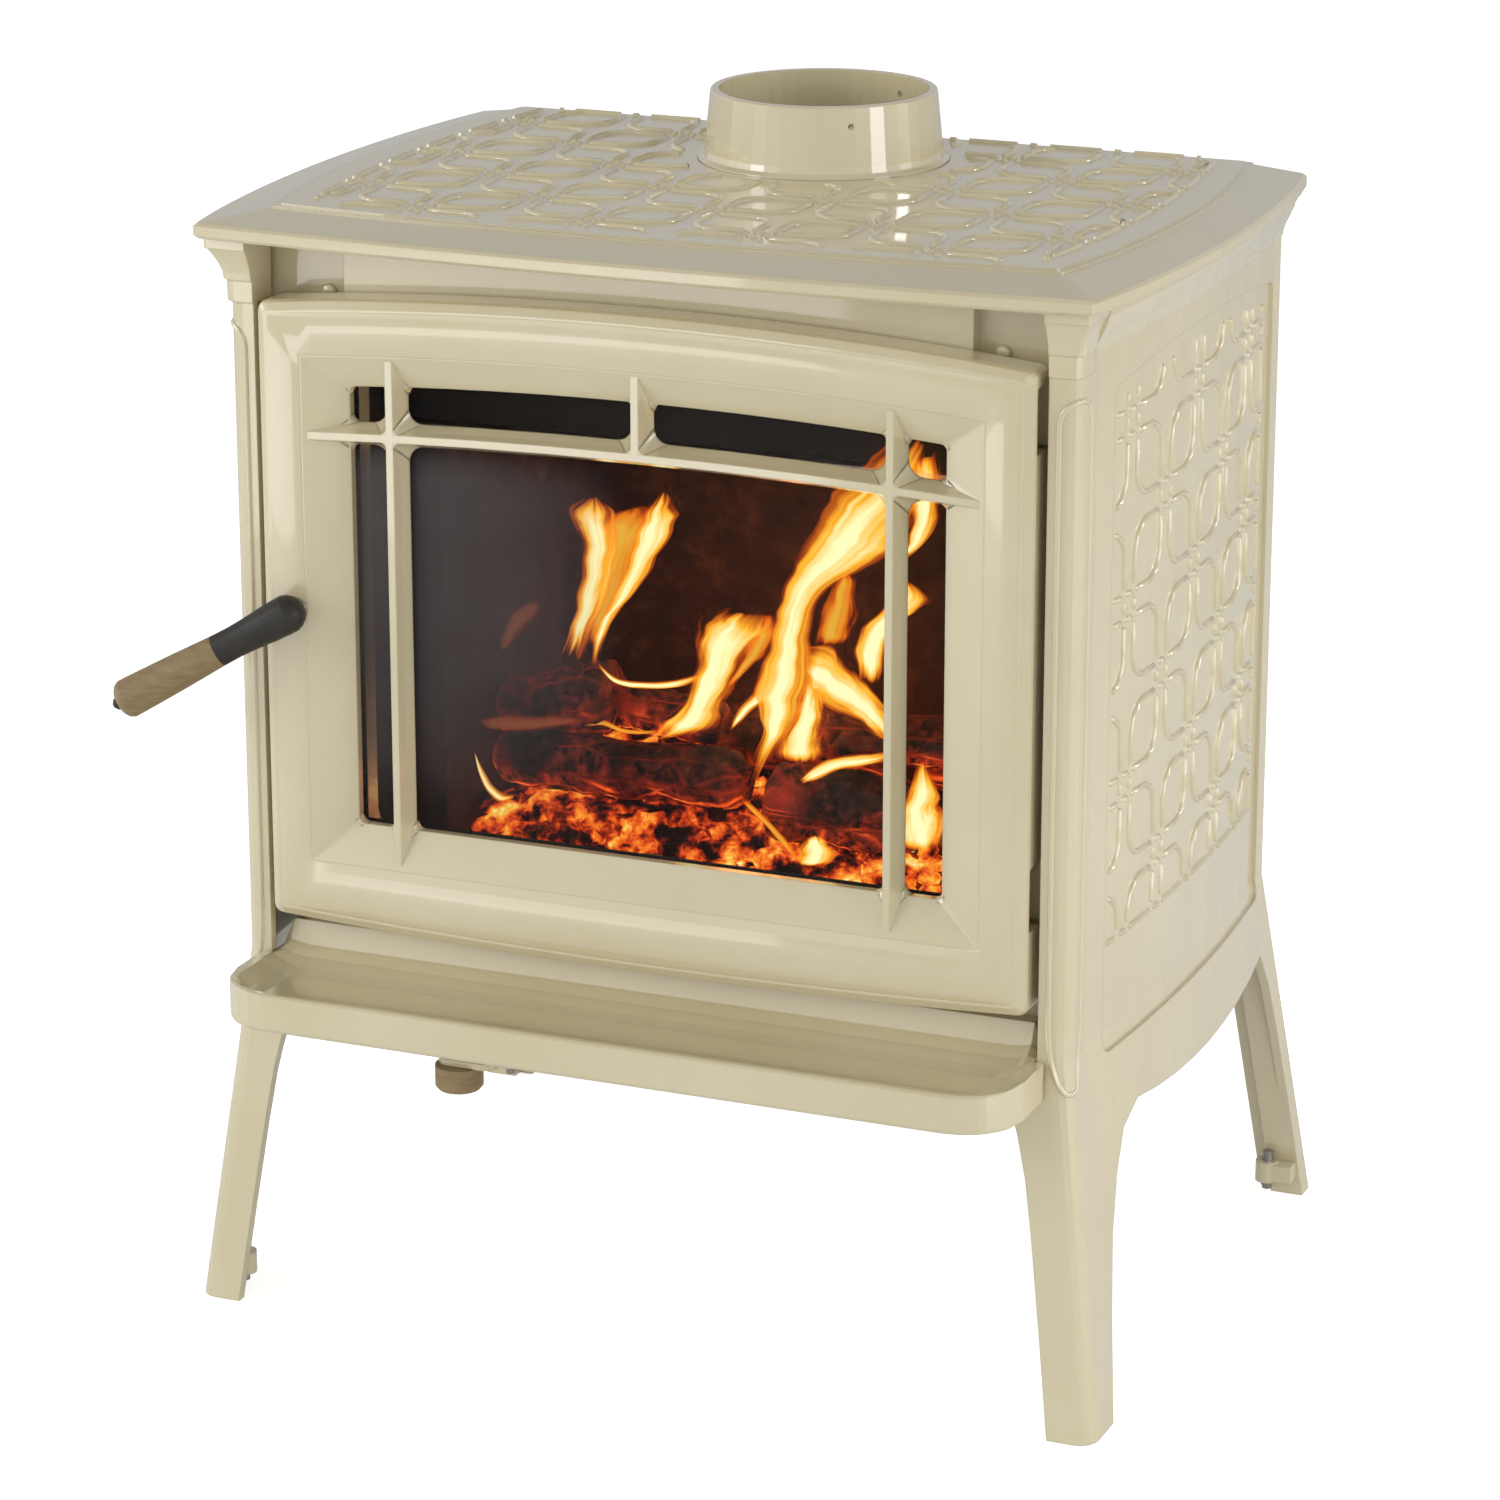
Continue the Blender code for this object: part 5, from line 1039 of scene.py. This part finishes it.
log("log_lower", (-0.174, 0.174, 0.350), (0.012, 0.166, 0.353), 0.0205, 3.1)
log("log_right", (0.028, 0.160, 0.346), (0.140, 0.176, 0.338), 0.0270, 31.2)
log("log_back", (-0.060, 0.262, 0.356), (0.165, 0.246, 0.366), 0.0240, 23.9)
log("log_far_right", (0.058, 0.214, 0.372), (0.168, 0.200, 0.384), 0.0120, 61.3)


tongue("flame_left", flame_hot, (
    (180, -128.7, 424, -116.4, 421), (180, -120.6, 445.5, -108.4, 444.5),
    (180, -116, 462.2, -100.9, 461.5), (180, -112.9, 481.1, -93.4, 480.8),
    (180, -111.7, 499.6, -88.9, 500.8), (180, -115.5, 515.3, -88.7, 515.7),
    (180, -117.8, 525.4, -89.9, 527.1), (180, -109.2, 533.8, -101.9, 535.4)), 1)
tongue("flame_left_fork", flame_hot, (
    (177, -107.3, 415, -102.3, 419), (177, -104, 435.3, -95.8, 442),
    (177, -99.7, 448.6, -85.4, 459.4), (177, -90.3, 465.8, -71.2, 477),
    (177, -80.4, 485.2, -59, 496.7), (177, -73, 504.4, -50, 513.6),
    (177, -68, 520.9, -44.4, 528.9), (177, -61.9, 532.9, -45.1, 539.1),
    (177, -53.5, 544.6, -50.6, 544)), 2)
tongue("flame_left_veil", flame_warm, (
    (186, -116.7, 430.4, -105.6, 431.6), (186, -109, 456.8, -91.9, 458.6),
    (186, -103.9, 485.1, -77.1, 487.9), (186, -101.2, 508.4, -67.2, 511.9),
    (186, -96.2, 520.4, -61.1, 526.2), (186, -86.5, 527.1, -69.5, 532.2)), 3)
tongue("flame_faint", flame_dull, (
    (190, -180, 417, -173, 419), (190, -176, 434, -165, 433), (190, -169, 447, -154, 443),
    (190, -157, 455, -145, 457)), 4)
tongue("flame_middle", flame_hot, (
    (170, -63.5, 374, -36.8, 379), (170, -46.3, 389.8, -16.1, 390.1),
    (169, -34, 402.4, -12.4, 402.6), (169, -26.6, 419.6, -3.8, 417.5),
    (169, -22.8, 436.2, 2.3, 434.4), (169, -20.3, 452.6, 12, 450.5),
    (168, -14.1, 464.8, 24, 462.1), (168, 0.3, 473.3, 20.5, 470.9)), 5)
tongue("flame_middle_lobe", flame_warm, (
    (174, -8.3, 413.9, -2.3, 416.9), (173, 1.6, 429.6, 9.9, 432.2), (173, 8.9, 443.2, 22, 444.2),
    (172, 16.3, 457.9, 30.5, 460.6), (172, 20, 469.4, 30, 471.4)), 6)
tongue("flame_low", flame_hot, (
    (172, -101.1, 424.7, -99.4, 420.9), (172, -89.5, 414.5, -88.8, 410.8),
    (171, -77.2, 412.7, -77, 408.6), (171, -63.7, 413.4, -63.7, 409),
    (171, -49, 415.7, -47.8, 411.2), (170, -36.8, 419.9, -34.8, 414.8),
    (170, -23.3, 425.5, -22.2, 421)), 7)
tongue("flame_edge", flame_warm, (
    (168, -109, 379.6, -108.1, 377.9), (168, -94.5, 383.8, -94.6, 380.5),
    (167, -79.2, 380.2, -79.7, 377.3), (167, -64.4, 380.7, -64.4, 378.3),
    (166, -52, 383.7, -50.8, 380.5)), 8)
tongue("flame_tall", flame_hot, (
    (146, 20.4, 356, 24.9, 358), (143, 26.8, 381.8, 36.3, 380.7), (141, 34.1, 400, 47.1, 397),
    (136, 33.6, 417.2, 59.5, 415.7), (132, 34.3, 434.5, 67.6, 436), (127, 42, 452.4, 70.7, 455.6),
    (123, 49.2, 472.4, 71.6, 472.6), (118, 53.9, 489.8, 76.6, 491.1),
    (114, 61.5, 507.4, 83.4, 505.3), (109, 71.4, 525.1, 101.2, 519.4),
    (105, 84.6, 543, 123.4, 533.9), (100, 96.6, 560.7, 138.7, 545.3),
    (96, 108.6, 578.2, 153.8, 563.2), (91, 126, 596.2, 167.6, 580.9),
    (87, 141.1, 611.6, 179.2, 598.1), (82, 153.9, 625.7, 180.7, 616.5)), 9)
tongue("flame_tall_leg", flame_hot, (
    (152, 4.1, 393, 9.3, 396), (151, 11.9, 408.2, 19.5, 408.6), (151, 20.5, 418.9, 30, 416.1),
    (150, 27.8, 432, 40.8, 426.7), (150, 34.3, 447.7, 48, 442.4)), 10)
tongue("flame_right", flame_hot, (
    (156, 57.3, 455, 59.3, 433), (155, 71.8, 456.9, 65.4, 422.5), (154, 83.9, 448.1, 77, 419.2),
    (153, 96, 439.1, 89.2, 414), (152, 107, 430, 101.3, 409.8), (151, 117.9, 418.4, 111.1, 401.3),
    (150, 126.5, 408.4, 123.1, 397.7)), 11)
tongue("flame_right_leg", flame_hot, (
    (148, 41.4, 378, 72.1, 383), (148, 44.7, 392.4, 72.5, 398), (148, 51.8, 407, 72.9, 413.5),
    (148, 56.4, 421.2, 70.5, 427.3), (148, 60.1, 436.4, 65.8, 438.2)), 12)
tongue("flame_base", flame_hot, (
    (134, 61.4, 371.4, 63.7, 368), (134, 72.9, 381.3, 77.7, 375), (134, 87.3, 388.7, 90.1, 382.2),
    (134, 101.6, 392.5, 104.4, 385.5), (134, 113.5, 395, 116.4, 389.5),
    (134, 127.7, 398.8, 129.1, 395.8)), 13)
tongue("flame_back_right", flame_warm, (
    (190, 50.7, 447.9, 69.6, 448.9), (190, 54.4, 462.2, 75.6, 462.2),
    (189, 60, 478.8, 78.6, 478.6), (189, 65.7, 491, 77.5, 494),
    (188, 70.6, 498.8, 74.8, 500.2)), 14)
tongue("flame_curl", flame_hot, (
    (180, 84.3, 429.2, 101.9, 430.1), (180, 84.3, 449.9, 106.6, 450.1),
    (179, 89.1, 466.4, 112.4, 469), (179, 99.7, 476.7, 125.2, 482.9),
    (178, 112.5, 491.7, 131.8, 490.4), (178, 114.2, 502.2, 123, 500.8)), 15)
tongue("flame_pane", flame_hot, (
    (130, 133.7, 336, 164.9, 335), (130, 133.3, 352.7, 166.1, 353.4),
    (129, 136.6, 363.5, 162.6, 366.7), (129, 143.1, 380.3, 159.2, 377.8),
    (128, 146.8, 396.7, 152.3, 395.6)), 16)
tongue("flame_crescent", flame_hot, (
    (88, 145.7, 542.1, 150.6, 540.5), (87, 153.1, 550, 164.3, 554.4),
    (86, 157.3, 563.7, 171.8, 569.5), (86, 157.5, 576.8, 174.1, 582.8),
    (85, 150.9, 591.5, 178.7, 600.6), (84, 152.2, 609, 179.9, 613.8)), 17)
tongue("flame_diagonal", flame_hot, (
    (150, -183, 360, -181.5, 357.2), (150, -177, 347, -179, 343.9), (150, -169, 335, -173, 331),
    (150, -160, 329, -163, 324), (150, -151, 331.3, -153, 325.9)), 18)
tongue("flame_spot", flame_hot, (
    (128, 63.2, 316.1, 83.2, 317.7), (127, 65.1, 325.3, 89.3, 326.5),
    (127, 70.1, 333, 82.5, 333.2), (126, 74.5, 337.2, 78.1, 337)), 19)
tongue("flame_thread", flame_warm, (
    (128, 22, 353.9, 24.3, 356), (128, 38.4, 340.5, 41.2, 343.1), (127, 51, 328.9, 54.3, 331.6),
    (126, 62.6, 316.7, 65.9, 319.5)), 20)
tongue("flame_row", flame_dull, (
    (150, -178.5, 380.6, -177.3, 374.8), (150, -157.3, 385.4, -157.5, 374.8),
    (150, -135.1, 387.3, -135.2, 377), (150, -115.4, 390, -115.5, 382.1),
    (150, -95.9, 390.5, -95.9, 387.2)), 21)


# Studio

scene = bpy.context.scene
scene.view_settings.view_transform = "Standard"

world = bpy.data.worlds.new("studio")
scene.world = world
world.use_nodes = True
tree = world.node_tree
background = tree.nodes["Background"]
direction = tree.nodes.new("ShaderNodeTexCoord")
split = tree.nodes.new("ShaderNodeSeparateXYZ")
height = tree.nodes.new("ShaderNodeValToRGB")
bright, dim = height.color_ramp.elements
bright.position, bright.color = 0.36, (1.0, 1.0, 1.0, 1.0)
dim.position, dim.color = 0.66, (0.30, 0.295, 0.285, 1.0)
tree.links.new(direction.outputs["Generated"], split.inputs["Vector"])
tree.links.new(split.outputs["Z"], height.inputs["Fac"])
tree.links.new(height.outputs["Color"], background.inputs["Color"])
behind = tree.nodes.new("ShaderNodeMapRange")
for limit, value in (("From Min", -0.2), ("From Max", 0.7), ("To Min", 0.98), ("To Max", 0.50)):
    behind.inputs[limit].default_value = value
tree.links.new(split.outputs["Y"], behind.inputs["Value"])
tree.links.new(behind.outputs["Result"], background.inputs["Strength"])
white = tree.nodes.new("ShaderNodeBackground")
white.inputs["Color"].default_value = (1.0, 1.0, 1.0, 1.0)
white.inputs["Strength"].default_value = 1.0
paths = tree.nodes.new("ShaderNodeLightPath")
choose = tree.nodes.new("ShaderNodeMixShader")
tree.links.new(paths.outputs["Is Camera Ray"], choose.inputs["Fac"])
tree.links.new(background.outputs["Background"], choose.inputs[1])
tree.links.new(white.outputs["Background"], choose.inputs[2])
tree.links.new(choose.outputs["Shader"], tree.nodes["World Output"].inputs["Surface"])


def softbox(name, place_at, look_at, width, height, power):
    """A rectangular studio light."""
    light = bpy.data.lights.new(name, "AREA")
    light.shape = "RECTANGLE"
    light.size, light.size_y = width, height
    light.energy = power
    item = bpy.data.objects.new(name, light)
    item.location = place_at
    item.rotation_euler = (Vector(look_at) - Vector(place_at)).to_track_quat("-Z", "Y").to_euler()
    scene.collection.objects.link(item)


softbox("key", (-2.5, -2.3, 1.7), (0.0, 0.0, 0.45), 1.6, 1.6, 26)
softbox("overhead", (0.2, 0.4, 3.0), (0.0, 0.0, 0.5), 2.4, 2.4, 6)
softbox("right", (3.0, -0.7, 1.0), (0.0, 0.0, 0.45), 1.0, 1.8, 17)
softbox("strip_left", (-2.4, -0.9, 1.2), (0.0, 0.0, 0.5), 0.14, 1.9, 10)
softbox("strip_right", (2.3, 0.9, 1.2), (0.0, 0.0, 0.5), 0.14, 1.9, 11)
softbox("low_front", (-1.15, -1.95, 0.16), (-0.40, -0.19, 0.60), 1.1, 0.30, 1.4)
softbox("post_strip", (0.92, -0.44, 0.27), (0.30, -0.18, 0.27), 0.035, 0.52, 0.30)
fire = bpy.data.lights.new("fire", "POINT")
fire.energy = 0.35
fire.color = (1.0, 0.36, 0.10)
fire.shadow_soft_size = 0.05
fire_light = bpy.data.objects.new("fire", fire)
fire_light.location = place(0.00, 0.22, 0.43)
scene.collection.objects.link(fire_light)

floor_mesh = bpy.data.meshes.new("floor")
floor_shape = bmesh.new()
bmesh.ops.create_circle(floor_shape, cap_ends=True, radius=30.0, segments=96)
floor_shape.to_mesh(floor_mesh)
floor_shape.free()
floor = bpy.data.objects.new("floor", floor_mesh)
floor.location.z = -0.0005
scene.collection.objects.link(floor)
f = Nodes("studio_floor")
f.set(Roughness=0.9, Emission_Color=(1.0, 1.0, 1.0, 1.0), Specular_IOR_Level=0.1)
f.feed(f.mix(f.noise(3.0), (0.86, 0.86, 0.86), (0.88, 0.88, 0.88)), "Base Color")
f.feed(f.grade(f.add("LightPath").outputs["Is Camera Ray"], 0.08, 0.74), "Emission Strength")
floor_mesh.materials.append(f.material)

camera_data = bpy.data.cameras.new("camera")
camera_data.sensor_width = 36.0
camera_data.lens = CAMERA_LENS
camera_data.clip_end = 60.0
camera = bpy.data.objects.new("camera", camera_data)
camera.location = place(*CAMERA_PLACE)
camera.rotation_euler = (math.radians(90 - CAMERA_DOWN), 0.0, math.radians(CAMERA_TURN))
scene.collection.objects.link(camera)
scene.camera = camera
